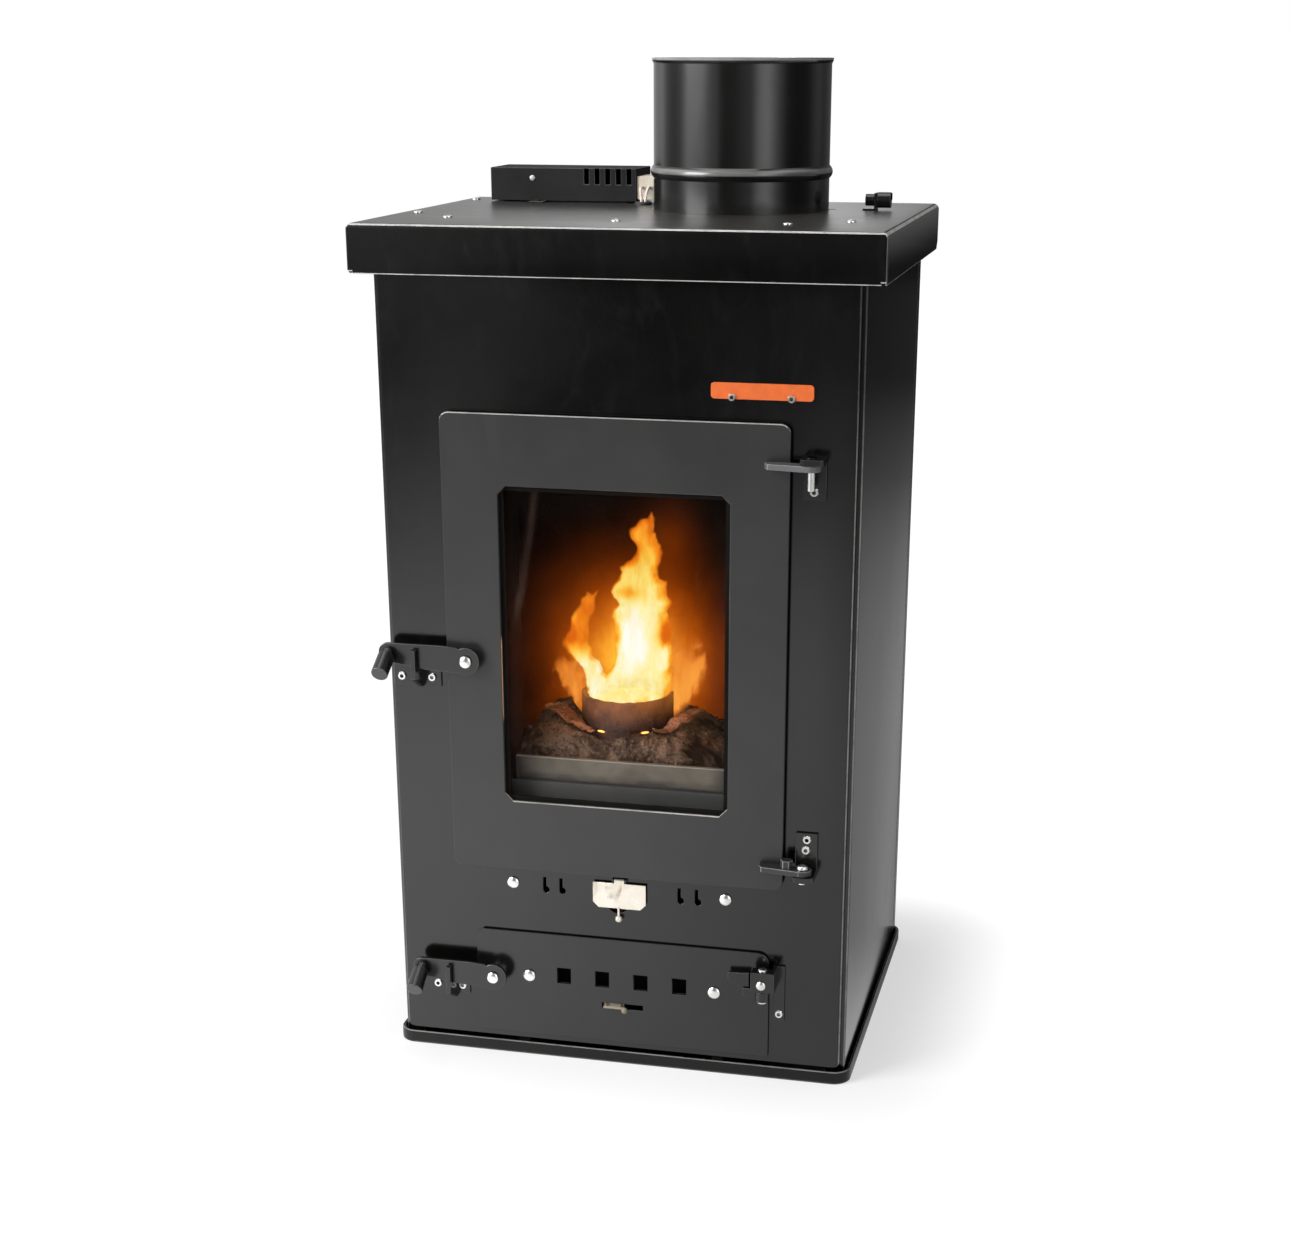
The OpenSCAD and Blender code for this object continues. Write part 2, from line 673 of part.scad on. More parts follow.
module door_plate() color(black) difference() {
    plate(round_rect(door_w, door_h, 8), 0, door_z + door_h / 2, door_back_y, door_t);
    plate(cut_rect(window_w, window_h, 7), 0, window_z + window_h / 2, door_back_y + 9, 22);
    y_bar(bolt_r - 0.5, latch_x, latch_z, door_front_y - 9, door_back_y + 9);
}
// Upright ring with a square section
module ring_plate(w, h, z, width, y_back, t) {
    difference() {
        plate(round_rect(w, h, 6), 0, z, y_back, t);
        plate(round_rect(w - 2 * width, h - 2 * width, 6 - min(width, 4)), 0, z, y_back + 9, t + 18);
    }
}
module door_frame() color(soot) {
    ring_plate(door_w - 2 * frame_inset, door_h - 2 * frame_inset, door_z + door_h / 2, frame_wall,
        door_back_y + 0.1 + frame_depth, frame_depth);
}
module rope_gasket() color("#6b6a66") {
    ring_plate(door_w - 2 * rope_inset, door_h - 2 * rope_inset, door_z + door_h / 2, rope_w,
        front_y - 0.1, door_gap - 0.1);
}
module glass_gasket() color("#151515") {
    z = window_z + window_h / 2;
    ring_plate(window_w + 2 * glass_lap, window_h + 2 * glass_lap, z, glass_lap + gasket_show, glass_y,
        gasket_t);
}
module door_glass() color("#c9a06088") {
    plate(round_rect(window_w + 2 * glass_lap, window_h + 2 * glass_lap, 3), 0, window_z + window_h / 2,
        glass_y + glass_t + 0.05, glass_t);
}
module glass_clips() color(steel) {
    edge = window_w / 2 + glass_lap;
    back = glass_y + glass_t + 0.05;
    for (s = [-1, 1], z = [window_z + 20, window_z + window_h / 2, window_z + window_h - 20]) {
        block(min(s * (edge - 6), s * (edge + 8)), max(s * (edge - 6), s * (edge + 8)), back, back + 1.5,
            z - 6, z + 6);
        block(min(s * (edge + 1), s * (edge + 8)), max(s * (edge + 1), s * (edge + 8)), door_back_y, back,
            z - 6, z + 6);
    }
}

// Plan outline of a hinge arm: from the door plate to its eye around the pin
module hinge_arm_at(z) {
    difference() {
        union() {
            translate([0, 0, z]) linear_extrude(hinge_t) polygon([[128, door_front_y],
                [128, door_front_y - 6], [131, door_front_y - 11], [hinge_x - 2, hinge_y - 8],
                [hinge_x, hinge_y], [hinge_x - 6, hinge_y + 6], [146, door_front_y]]);
            z_bar(8, hinge_x, hinge_y, z, z + hinge_t);
        }
        z_bar(pin_r + play, hinge_x, hinge_y, z - 9, z + 20);
    }
}
module hinge_arms() color(steel) {
    hinge_arm_at(upper_tab_z - tab_gap - hinge_t);
    hinge_arm_at(lower_tab_z + tab_gap);
    translate([152.7, hinge_y + 1, lower_tab_z + tab_gap + hinge_t]) cylinder(r = 5.5, h = 7, $fn = 6);
}
// Tab with the pin hole, and the plate that screws to the front panel
module hinge_bracket_at(tab_z, plate_z0, plate_z1) {
    difference() {
        union() {
            translate([0, 0, tab_z]) linear_extrude(hinge_t) polygon([[158, front_y], [158, hinge_y - 6],
                [161, hinge_y - 9], [174, hinge_y - 9], [177, hinge_y - 6], [177, front_y]]);
            block(158, 177, front_y - 3, front_y, plate_z0, plate_z1);
        }
        z_bar(pin_r, hinge_x, hinge_y, tab_z - 9, tab_z + 20);
        for (s = button_spots) y_bar(1.7, s[0], s[1], front_y - 9, front_y + 9);
    }
}
module hinge_brackets() color(steel) {
    hinge_bracket_at(upper_tab_z, upper_tab_z - 31, upper_tab_z + hinge_t);
    hinge_bracket_at(lower_tab_z - hinge_t, lower_tab_z - hinge_t, lower_tab_z + 33);
}
module hinge_pins() color(zinc) {
    upper = upper_tab_z + hinge_t;
    z_bar(pin_r, hinge_x, hinge_y, upper - 26, upper);
    translate([hinge_x, hinge_y, upper]) dome_screw(4.6, 2, 2, 0);
    z_bar(pin_r, hinge_x, hinge_y, lower_tab_z - hinge_t - 3, lower_tab_z + 6);
    translate([hinge_x, hinge_y, lower_tab_z + 5.7]) dome_screw(5, 3.6, 2, 0);
}
// Screws of catches and hinge brackets: across, up, and how thick the plate under the head is
button_spots = [[-191.5, latch_z - 20.4], [-164, latch_z - 20], [-169.5, ash_latch_z - 17.5],
    [-146, ash_latch_z - 17.5], [167.2, upper_tab_z - 24.5], [168, lower_tab_z + 27.5],
    [167.2, lower_tab_z + 18], [146.5, ash_latch_z - 16]];
module button_screws() color(zinc) {
    for (i = [0:len(button_spots) - 1]) {
        under = i < 4 ? 2 : (i < 7 ? 3 : 2.5);
        facing_front(button_spots[i][0], button_spots[i][1], front_y - under)
            button_screw(3.8, 2, 1.6, under + 5);
    }
}

// Spacer and bolt that carry a lever, from the door face forward
module lever_bolt(x, z, face_y) {
    y0 = lever_y - lever_t;
    difference() {
        y_bar(7, x, z, lever_y + 0.2, face_y);
        y_bar(bolt_r - 0.5, x, z, y0, face_y + 9);
    }
    y_bar(bolt_r - 0.5, x, z, lever_y, face_y + 2);
    y_bar(bolt_r, x, z, y0 - 0.3, lever_y + 0.2);
    facing_front(x, z, y0 - 0.3) dome_screw(5.4, 3.4, 1, 0);
}
// Latch lever: round end at the bolt, straight bar, small round end at the knob
module lever_at(x, z, length) {
    kx = x - length;
    kz = z + 4;
    difference() {
        union() {
            plate([[kx, kz + 8.5], [x - 22, z + 12.6], [x - 8, z + 11.6], [x, z + 6], [x, z - 11],
                [x - 36, z - 9.5], [kx + 2, kz - 8.5]], 0, 0, lever_y, lever_t);
            y_bar(12, x, z, lever_y - lever_t, lever_y);
            y_bar(8.5, kx, kz, lever_y - lever_t, lever_y);
        }
        y_bar(bolt_r + play, x, z, lever_y - 9, lever_y + 9);
    }
}
// Knob on its slanted stud, at the free end of a lever
module knob_at(x, z, length) {
    translate([x - length, lever_y - lever_t - 0.05, z + 4]) rotate([120, 0, 0]) difference() {
        union() {
            translate([0, 0, -3]) cylinder(r = 4, h = 9);
            translate([0, 0, 4.6]) cylinder(r = knob_r, h = 22);
        }
        rotate([-30, 0, 0]) translate([-20, -40, -30]) cube([40, 80, 30]);
    }
}
// Catch: base plate on the panel and a fin whose slot holds the lever
module catch_at(x, z, base_x0, base_x1, base_z, rest) {
    y_in = lever_y + slot_gap;
    y_out = lever_y - lever_t - slot_gap;
    plate_t = 2;
    difference() {
        union() {
            block(base_x0, base_x1, front_y - plate_t, front_y, base_z - 8, base_z + 11);
            translate([x - 2, 0, 0]) rotate([90, 0, 90]) linear_extrude(4) polygon([
                [front_y - 1, z - 28], [front_y - 6, z - 28], [y_out - 5, z - 17], [y_out - 5, z + 8],
                [y_out - 1, z + 9], [y_out, z + 8], [y_out, z - rest], [y_in, z - rest], [y_in, z - 1],
                [y_in + 4, z + 1], [front_y - 1, z + 1]]);
        }
        for (s = button_spots) y_bar(1.7, s[0], s[1], front_y - 30, front_y + 9);
    }
}
module latch_bolt() color(zinc) {
    lever_bolt(latch_x, latch_z, door_front_y);
}
module latch_lever() color(black) {
    lever_at(latch_x, latch_z, lever_len);
}
module latch_knob() color(black) {
    knob_at(latch_x, latch_z, lever_len);
}
module door_catches() color(black) {
    catch_at(latch_x - 45.5, latch_z, -199, -156, latch_z - 20.2, 8.7);
    catch_at(ash_latch_x - 40.5, ash_latch_z, -177, -139.5, ash_latch_z - 17.5, 9.4);
}

module ash_door_plate() color(black) {
    w = ash_w / 2;
    difference() {
        plate(concat([[w, 0]], arc(w - 10, ash_h - 10, 10, 0, 90), [[6 - w, ash_h], [-w, ash_h - 6], [-w, 0]]),
            ash_x, ash_z, ash_back_y, ash_t);
        for (i = [-1.5:1:1.5]) block(ash_x + i * air_pitch - air_w / 2, ash_x + i * air_pitch + air_w / 2,
            ash_front_y - 9, ash_back_y + 9, ash_air_z - air_h / 2, ash_air_z + air_h / 2);
        block(ash_x - 18, ash_x + 20, ash_front_y - 9, ash_back_y + 9, ash_z + 33, ash_z + 38);
        for (s = [-1, 1]) y_bar(slider_screw_r, ash_x + s * slider_bolt_x, slider_bolt_z, ash_front_y - 9,
            ash_back_y + 9);
        y_bar(bolt_r - 0.5, ash_latch_x, ash_latch_z, ash_front_y - 9, ash_back_y + 9);
    }
}
module ash_hinge_arm() color(steel) {
    x0 = ash_hinge_x - 32;
    difference() {
        union() {
            plate([[x0, 96], [x0, 102], [x0 + 19, 103], [x0 + 19, 85], [x0 + 13, 88]], 0, 0, ash_hinge_y + 7, 3);
            block(x0 + 2, x0 + 12, ash_hinge_y + 6.9, ash_front_y, 94, 101);
            block(x0 + 14, ash_hinge_x, ash_hinge_y + 1.5, ash_hinge_y + 6, 82, 89.4);
            z_bar(6.3, ash_hinge_x, ash_hinge_y, 80, 89.4);
        }
        z_bar(ash_pin_r + play, ash_hinge_x, ash_hinge_y, 70, 95);
    }
}
module ash_hinge_bracket() color(black) {
    x = ash_hinge_x;
    difference() {
        union() {
            block(x - 9.5, x + 11.5, ash_hinge_y - 7, ash_hinge_y + 5.5, 90, 108.5);
            block(x + 8, x + 11.5, ash_hinge_y + 5, front_y - 1, 90, 108.5);
            block(x + 8, x + 17.5, front_y - 2.5, front_y, 56, 108.5);
        }
        z_bar(ash_pin_r, x, ash_hinge_y, 80, 120);
        for (s = button_spots) y_bar(1.7, s[0], s[1], front_y - 9, front_y + 9);
    }
}
module ash_hinge_pin() color(zinc) {
    z_bar(ash_pin_r, ash_hinge_x, ash_hinge_y, 77.5, 108.5);
    translate([ash_hinge_x, ash_hinge_y, 108.5]) dome_screw(4, 2, 2, 0);
    translate([ash_hinge_x, ash_hinge_y, 79.7]) rotate([180, 0, 0]) dome_screw(4.6, 2.6, 1, 0);
    facing_front(ash_hinge_x, 97, ash_hinge_y - 7.05) dome_screw(4.2, 2.4, 1, 0);
}
module ash_latch_bolt() color(zinc) {
    lever_bolt(ash_latch_x, ash_latch_z, ash_front_y);
}
module ash_latch_lever() color(black) {
    lever_at(ash_latch_x, ash_latch_z, ash_lever_len);
}
module ash_latch_knob() color(black) {
    knob_at(ash_latch_x, ash_latch_z, ash_lever_len);
}
module air_slider() color(steel) {
    y_back = ash_back_y + 0.3 + slider_t;
    wire_z = ash_z + 35.5;
    difference() {
        union() {
            block(ash_x - 97, ash_x + 79, y_back - slider_t, y_back, ash_air_z - 12, ash_air_z + 12);
            block(ash_x - 17, ash_x + 2, y_back - slider_t, y_back, wire_z - 5, ash_air_z - 11);
        }
        for (i = [-1.5:1:1.5]) block(ash_x + i * air_pitch - air_w / 2, ash_x + i * air_pitch + air_w / 2,
            y_back - 9, y_back + 9, ash_air_z - air_h / 2, ash_air_z + air_h / 2);
        for (s = [-1, 1]) {
            x = ash_x + s * slider_bolt_x;
            block(x - slider_travel, x, y_back - 9, y_back + 9, slider_bolt_z - slider_screw_r - 0.3,
                slider_bolt_z + slider_screw_r + 0.3);
            for (d = [0, slider_travel]) y_bar(slider_screw_r + 0.3, x - d, slider_bolt_z, y_back - 9,
                y_back + 9);
        }
    }
    for (x = [ash_x - 14, ash_x - 1]) y_bar(1.2, x, wire_z, ash_front_y - 4, y_back - slider_t + 0.5);
    x_bar(1.2, ash_front_y - 4, wire_z, ash_x - 15.2, ash_x + 4);
    translate([ash_x + 4, ash_front_y - 4, wire_z - 2]) sphere(r = 2.8, $fn = 32);
}
module slider_bolts() color(zinc) {
    y_nut = ash_back_y + 0.5 + slider_t;
    for (s = [-1, 1]) {
        x = ash_x + s * slider_bolt_x;
        facing_front(x, slider_bolt_z, ash_front_y) dome_screw(5.6, 3.2, 2, 0);
        y_bar(slider_screw_r, x, slider_bolt_z, ash_front_y, y_nut + 4);
        difference() {
            translate([x, y_nut + 3.6, slider_bolt_z]) rotate([90, 0, 0]) cylinder(r = 5, h = 3.4, $fn = 6);
            y_bar(slider_screw_r - 0.1, x, slider_bolt_z, ash_front_y, y_nut + 9);
        }
    }
}
module ash_pan() color(steel) {
    y0 = -164;
    y1 = 10;
    difference() {
        block(-pan_half_w, pan_half_w, y0, y1, pan_z, 98);
        block(1.5 - pan_half_w, pan_half_w - 1.5, y0 + 1.5, y1 - 1.5, pan_z + 1.5, 110);
    }
    for (s = [-1, 1]) block(s * 80 - 4, s * 80 + 4, y0 + 14, y1 - 6, pan_foot_z, pan_z + 0.2);
    block(-30, 30, y0 - 3, y0 + 0.5, 88, 90);
}

module ignition_flap() color(cream) {
    y_back = flap_axis_y - 0.5;
    x0 = 2;
    top = flap_axis_z - 2.4;
    barrel = 4.5;
    difference() {
        union() {
            plate([[flap_w / 2, 0], [flap_w / 2, 5 - flap_h], [flap_w / 2 - 5, -flap_h],
                [5 - flap_w / 2, -flap_h], [-flap_w / 2, 5 - flap_h], [-flap_w / 2, 0]], x0, top, y_back, flap_t);
            x_bar(1.6, flap_axis_y, flap_axis_z, x0 - barrel, x0 + barrel);
            block(x0 - barrel, x0 + barrel, y_back - flap_t, y_back, top - 1, flap_axis_z);
        }
        x_bar(flap_pin_r + play, flap_axis_y, flap_axis_z, x0 - 9, x0 + 9);
    }
    z_bar(1.1, x0 - 0.5, front_y - 3.8, top - flap_h - 8, top - flap_h + 1);
    translate([x0 - 0.5, front_y - 3.8, top - flap_h - 9.5]) sphere(r = 3.3, $fn = 32);
}
module flap_pin() color(black) {
    x_bar(flap_pin_r, flap_axis_y, flap_axis_z, -4.5, 8.5);
    for (x = [-4.5, 7]) difference() {
        block(x, x + 1.5, front_y - 3.4, front_y, flap_axis_z - 1.5, flap_axis_z + 1.5);
        x_bar(flap_pin_r, flap_axis_y, flap_axis_z, x - 1, x + 3);
    }
}

module control_box() color(black) {
    x0 = box_x - box_l;
    z0 = lid_top + box_foot;
    z1 = z0 + box_h - 0.2;
    y1 = box_y0 + box_d;
    difference() {
        block(x0, box_x, box_y0, y1, z0, z1);
        block(x0 + 1.2, box_x - 1.2, box_y0 + 1.2, y1 - 1.2, z0 + 1.2, z1 - 1.2);
        for (i = [0:4]) block(box_x - 49 + 10 * i, box_x - 44.5 + 10 * i, box_y0 - 9, box_y0 + 7,
            z1 - 14, z1 + 9);
    }
    block(x0 + 39, x0 + 53, box_y0 - 11, box_y0 + 14, lid_top, z0);
    translate([x0 + 46, box_y0 - 6, z0]) dome_screw(3.2, 1.6, 1, 0);
    for (x = [x0 + 4, x0 + 120]) block(x, x + 14, y1 - 20, y1 - 4, lid_top, z0);
    facing_front(x0 + 40, z1 - 9, box_y0) dome_screw(2.6, 1.6, 1, 0);
}
module terminal_block() color(cream) {
    z0 = lid_top + box_foot + 2;
    difference() {
        block(box_x + 0.1, box_x + 16, box_y0 + 2, box_y0 + 40, z0, z0 + 20);
        for (i = [0:3]) block(box_x + 3, box_x + 20, box_y0 + 5 + 9 * i, box_y0 + 11 + 9 * i, z0 + 6, z0 + 30);
    }
    for (i = [0:3]) z_bar(2.4, box_x + 9, box_y0 + 8 + 9 * i, z0 + 5.5, z0 + 10);
}
// Point of a smooth curve through the route, at segment i and fraction t
function smooth(p, i, t) = let (n = len(p) - 1, a = p[max(i - 1, 0)], b = p[i], c = p[min(i + 1, n)],
    d = p[min(i + 2, n)]) 0.5 * (2 * b + (c - a) * t + (2 * a - 5 * b + 4 * c - d) * t * t
    + (3 * b - a - 3 * c + d) * t * t * t);
function route(p, steps) = concat([for (i = [0:len(p) - 2], k = [0:steps - 1]) smooth(p, i, k / steps)],
    [p[len(p) - 1]]);
function unit(v) = v / norm(v);
// Tube swept along the points of q, with n sides
module tube(q, r, n) {
    m = len(q);
    tangent = [for (i = [0:m - 1]) unit(q[min(i + 1, m - 1)] - q[max(i - 1, 0)])];
    side = [for (t = tangent) unit(cross(t, abs(t[2]) < 0.8 ? [0, 0, 1] : [0, 1, 0]))];
    rings = [for (i = [0:m - 1], k = [0:n - 1]) let (a = 360 * k / n) q[i]
        + r * (cos(a) * side[i] + sin(a) * cross(tangent[i], side[i]))];
    walls = [for (i = [0:m - 2], k = [0:n - 1]) let (j = (k + 1) % n)
        [i * n + k, (i + 1) * n + k, (i + 1) * n + j, i * n + j]];
    polyhedron(rings, concat([[for (k = [0:n - 1]) k]], walls,
        [[for (k = [n - 1:-1:0]) (m - 1) * n + k]]));
}
// Routes of the two leads, from the terminal block through the grommet to the motor
lead_r = 1.3;
lead_a = [[-43, 99.9, 744], [-43, 95, 743.5], [-42, 90, 740.5], [-40.3, 86, 736], [-39.8, 84.3, 730],
    [-39.8, 85, 720], [-41, 100, 714], [-40, 130, 713], [-20, 144, 712], [40, 146, 708], [84, 144, 690],
    [92, 142, 640], [91, 140, 600], [84, 138, 560], [74, 133, 532], [70, 124.2, 520]];
lead_b = [[-36, 99.9, 744], [-36, 95, 743.5], [-36.1, 90, 740.5], [-36.2, 86, 736], [-36.2, 84.3, 730],
    [-36.2, 85, 720], [-37, 100, 717], [-36, 134, 717], [-18, 149, 716], [42, 150.5, 712], [88, 149, 694],
    [97, 147, 640], [97, 146, 600], [86, 143, 556], [70, 139, 524], [62, 124.2, 512]];
module motor_leads() {
    color("#8c1f1a") tube(route(lead_a, 3), lead_r, 8);
    color(black) tube(route(lead_b, 3), lead_r, 8);
}
module grommet() color("#151515") translate([grommet_x, grommet_y, 0]) rotate_extrude()
    polygon([[4, lid_top - 4], [5.8, lid_top - 4], [5.8, lid_top], [8, lid_top], [8, lid_top + 1.6],
        [7, lid_top + 2.6], [4, lid_top + 2.6]]);

module feed_bush() color(zinc) {
    block(feed_x, feed_x + 2, feed_y - 6, feed_y + 6, lid_top, feed_z + 6);
    block(feed_x - 10, feed_x + 2, feed_y - 6, feed_y + 6, lid_top, lid_top + 1.5);
    x_bar(5, feed_y, feed_z, feed_x - 8, feed_x);
    x_bar(3, feed_y, feed_z, feed_x + 2, feed_x + 10);
}
module feed_knob() color(black) difference() {
    union() {
        x_bar(6.6, feed_y, feed_z, feed_x + 2.4, feed_x + 14);
        block(feed_x + 13.9, feed_x + 15, feed_y - 0.8, feed_y + 0.8, feed_z, feed_z + 6);
    }
    x_bar(3 + play, feed_y, feed_z, feed_x + 1, feed_x + 10.4);
}

base_tray();
front_panel();
side_panel_left();
side_panel_right();
back_panel();
top_lid();
dome_screws();
flue_collar();
smoke_box();
firebox();
baffle();
ash_box();
burner_tray();
burn_pot();
ash_lip();
grate_bar();
ignition_tube();
hopper();
auger_tube();
pellet_chute();
auger_shaft();
auger_flight();
gearmotor();
filler_flap();
filler_knob();
filler_pin();
badge();
badge_screws();
door_plate();
door_frame();
rope_gasket();
glass_gasket();
door_glass();
glass_clips();
hinge_arms();
hinge_brackets();
hinge_pins();
button_screws();
latch_bolt();
latch_lever();
latch_knob();
door_catches();
ash_door_plate();
ash_hinge_arm();
ash_hinge_bracket();
ash_hinge_pin();
ash_latch_bolt();
ash_latch_lever();
ash_latch_knob();
air_slider();
slider_bolts();
ash_pan();
ignition_flap();
flap_pin();
control_box();
terminal_block();
motor_leads();
grommet();
feed_bush();
feed_knob();
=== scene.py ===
import json
import math

import bmesh
import bpy
import numpy as np
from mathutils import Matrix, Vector, noise

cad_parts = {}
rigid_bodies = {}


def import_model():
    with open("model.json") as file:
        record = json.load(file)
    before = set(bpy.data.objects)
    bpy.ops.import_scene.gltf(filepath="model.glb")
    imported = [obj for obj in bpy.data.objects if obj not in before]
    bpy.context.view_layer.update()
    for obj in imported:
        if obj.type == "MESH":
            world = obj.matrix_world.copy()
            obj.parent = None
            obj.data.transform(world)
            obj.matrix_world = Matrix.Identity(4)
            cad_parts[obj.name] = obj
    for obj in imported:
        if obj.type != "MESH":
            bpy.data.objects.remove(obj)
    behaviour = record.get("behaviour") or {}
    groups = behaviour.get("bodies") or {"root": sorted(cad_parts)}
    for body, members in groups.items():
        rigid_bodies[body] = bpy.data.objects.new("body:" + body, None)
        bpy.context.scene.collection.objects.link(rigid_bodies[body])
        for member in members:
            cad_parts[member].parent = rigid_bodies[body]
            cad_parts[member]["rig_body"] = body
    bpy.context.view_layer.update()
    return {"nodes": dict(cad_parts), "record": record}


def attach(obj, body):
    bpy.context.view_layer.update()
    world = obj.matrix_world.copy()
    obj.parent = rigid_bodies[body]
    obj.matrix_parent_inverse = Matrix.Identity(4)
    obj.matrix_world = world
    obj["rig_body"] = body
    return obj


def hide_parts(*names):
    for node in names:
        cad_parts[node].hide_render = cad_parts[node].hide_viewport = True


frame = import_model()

nodes = frame["nodes"]
nodeBody = {n: nodes[n]["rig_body"] for n in nodes}
scene = bpy.context.scene
scene.view_settings.view_transform = "Standard"
print("stage: frame loaded,", len(nodes), "nodes")

# Camera
def setAll(thing, values):
    for name, value in values.items():
        setattr(thing, name, value)
    return thing


def newObject(name, data):
    made = bpy.data.objects.new(name, data)
    scene.collection.objects.link(made)
    return made


camera = {
    "place": (0.44593, -1.89402, 0.86107),
    "turn": (math.radians(90 - 20.32), 0, math.radians(13.13)),
    "lens": {"sensor_fit": "HORIZONTAL", "sensor_width": 36.0, "lens": 60.32, "shift_x": -0.0175,
             "shift_y": 0.172, "clip_start": 0.05, "clip_end": 60},
}
scene.camera = newObject("camera", setAll(bpy.data.cameras.new("camera"), camera["lens"]))
scene.camera.location = camera["place"]
scene.camera.rotation_euler = camera["turn"]


# Node helpers
class Wire:
    def __init__(self, graph, socket):
        self.graph, self.socket = graph, socket

    def math(self, operation, *others):
        return self.graph.node("ShaderNodeMath", {"operation": operation},
                               dict(enumerate((self, *others))))

    def __rsub__(self, other):
        return self * -1.0 + other

    def held(self, low=0.0, high=1.0):
        return self.most(low).least(high)

    # e to the power of minus this
    def fading(self):
        return self.graph.node("ShaderNodeMath", {"operation": "POWER"},
                               {0: math.e, 1: self * -1.0})

    # 0 below start, 1 above end, smooth between
    def step(self, start, end):
        return self.graph.node(
            "ShaderNodeMapRange", {"interpolation_type": "SMOOTHSTEP"},
            {"Value": self, "From Min": start, "From Max": end})

    # 1 from low to high, 0 further out than soft
    def within(self, low, high, soft):
        return self.step(low - soft, low) * (1.0 - self.step(high, high + soft))


def mathMethod(operation):
    return lambda self, *others: self.math(operation, *others)


for method, operation in {
        "__add__": "ADD", "__radd__": "ADD", "__sub__": "SUBTRACT", "__mul__": "MULTIPLY",
        "__truediv__": "DIVIDE", "__pow__": "POWER", "least": "MINIMUM", "most": "MAXIMUM",
        "over": "GREATER_THAN", "size": "ABSOLUTE"}.items():
    setattr(Wire, method, mathMethod(operation))


class Graph:
    def __init__(self, tree):
        self.tree = tree
        tree.nodes.clear()

    def node(self, kind, settings=None, inputs=None, out=0):
        made = setAll(self.tree.nodes.new(kind), settings or {})
        for name, value in (inputs or {}).items():
            self.plug(made.inputs[name], value)
        return Wire(self, made.outputs[out])

    def plug(self, socket, value):
        if isinstance(value, Wire):
            self.tree.links.new(value.socket, socket)
        elif value is not None:
            socket.default_value = (*value, 1.0) if socket.type == "RGBA" else value

    def place(self):
        return self.node("ShaderNodeTexCoord", out=3)

    def attribute(self, name):
        return self.node("ShaderNodeAttribute", {"attribute_name": name}, out=2)

    def parts(self, vector):
        outputs = self.node("ShaderNodeSeparateXYZ", None, {0: vector}).socket.node.outputs
        return [Wire(self, output) for output in outputs]

    # whether a ray comes from the camera, a glossy face or through glass
    def rays(self):
        outputs = self.node("ShaderNodeLightPath").socket.node.outputs
        return [Wire(self, outputs[f"Is {kind} Ray"])
                for kind in ("Camera", "Glossy", "Transmission")]

    def stretch(self, vector, by):
        return self.node("ShaderNodeVectorMath", {"operation": "MULTIPLY"}, {0: vector, 1: by})

    def noise(self, vector, scale, detail=3.0, rough=0.5, warp=0.0):
        return self.node("ShaderNodeTexNoise", None, {
            "Vector": vector, "Scale": scale, "Detail": detail, "Roughness": rough,
            "Distortion": warp})

    def cells(self, vector, scale):
        return self.node("ShaderNodeTexVoronoi", None, {"Vector": vector, "Scale": scale})

    def blend(self, factor, a, b, how="MIX"):
        return self.node("ShaderNodeMix", {"data_type": "RGBA", "blend_type": how},
                         {0: factor, 6: a, 7: b}, out=2)

    def product(self, a, b):
        return self.blend(1.0, a, b, "MULTIPLY")

    def ramp(self, position, stops):
        made = self.node("ShaderNodeValToRGB", None, {0: position})
        elements = made.socket.node.color_ramp.elements
        while len(elements) < len(stops):
            elements.new(0.5)
        for element, (at, colour) in zip(elements, stops):
            element.position = at
            element.color = (*colour, 1)
        return made

    def bump(self, height, distance, strength=1.0, normal=None):
        return self.node("ShaderNodeBump", None, {
            "Height": height, "Distance": distance, "Strength": strength, "Normal": normal})

    def emission(self, colour, strength):
        return self.node("ShaderNodeEmission", None, {"Color": colour, "Strength": strength})

    def mixed(self, factor, a, b):
        return self.node("ShaderNodeMixShader", None, {0: factor, 1: a, 2: b})

    def surface(self, **inputs):
        names = {"colour": "Base Color", "coat": "Coat Weight", "coatRough": "Coat Roughness",
                 "glow": "Emission Color", "power": "Emission Strength",
                 "shine": "Specular IOR Level"}
        self.output(self.node("ShaderNodeBsdfPrincipled", None,
                              {names.get(k, k): v for k, v in inputs.items()}))

    def output(self, surface, kind="ShaderNodeOutputMaterial"):
        self.tree.links.new(surface.socket, self.tree.nodes.new(kind).inputs[0])


finishes = {}


def newMaterial(name):
    finishes[name] = bpy.data.materials.new(name)
    finishes[name].use_nodes = True
    g = Graph(finishes[name].node_tree)
    return g, g.place()


# What a finish and a band of it have where their own settings say nothing
plainFinish = {
    "cloudScale": 14, "grainScale": 900, "smudgeScale": 38, "smudge": 0.3, "speckScale": 260,
    "speck": 0.4, "speckColour": (0.12, 0.11, 0.1), "roughCloud": 0.12, "roughSmudge": 0.08,
    "metal": 0.0, "ior": 1.5, "shine": 0.5, "coat": 0.0, "peel": 0.00002, "wave": 0.0006,
    "bands": (),
}
plainBand = {"soft": 0.0004, "amount": 1.0, "broken": 0.0, "brokenScale": 30, "rough": 0.0}
doorFront = min(v.co.y for v in nodes["door_plate"].data.vertices)


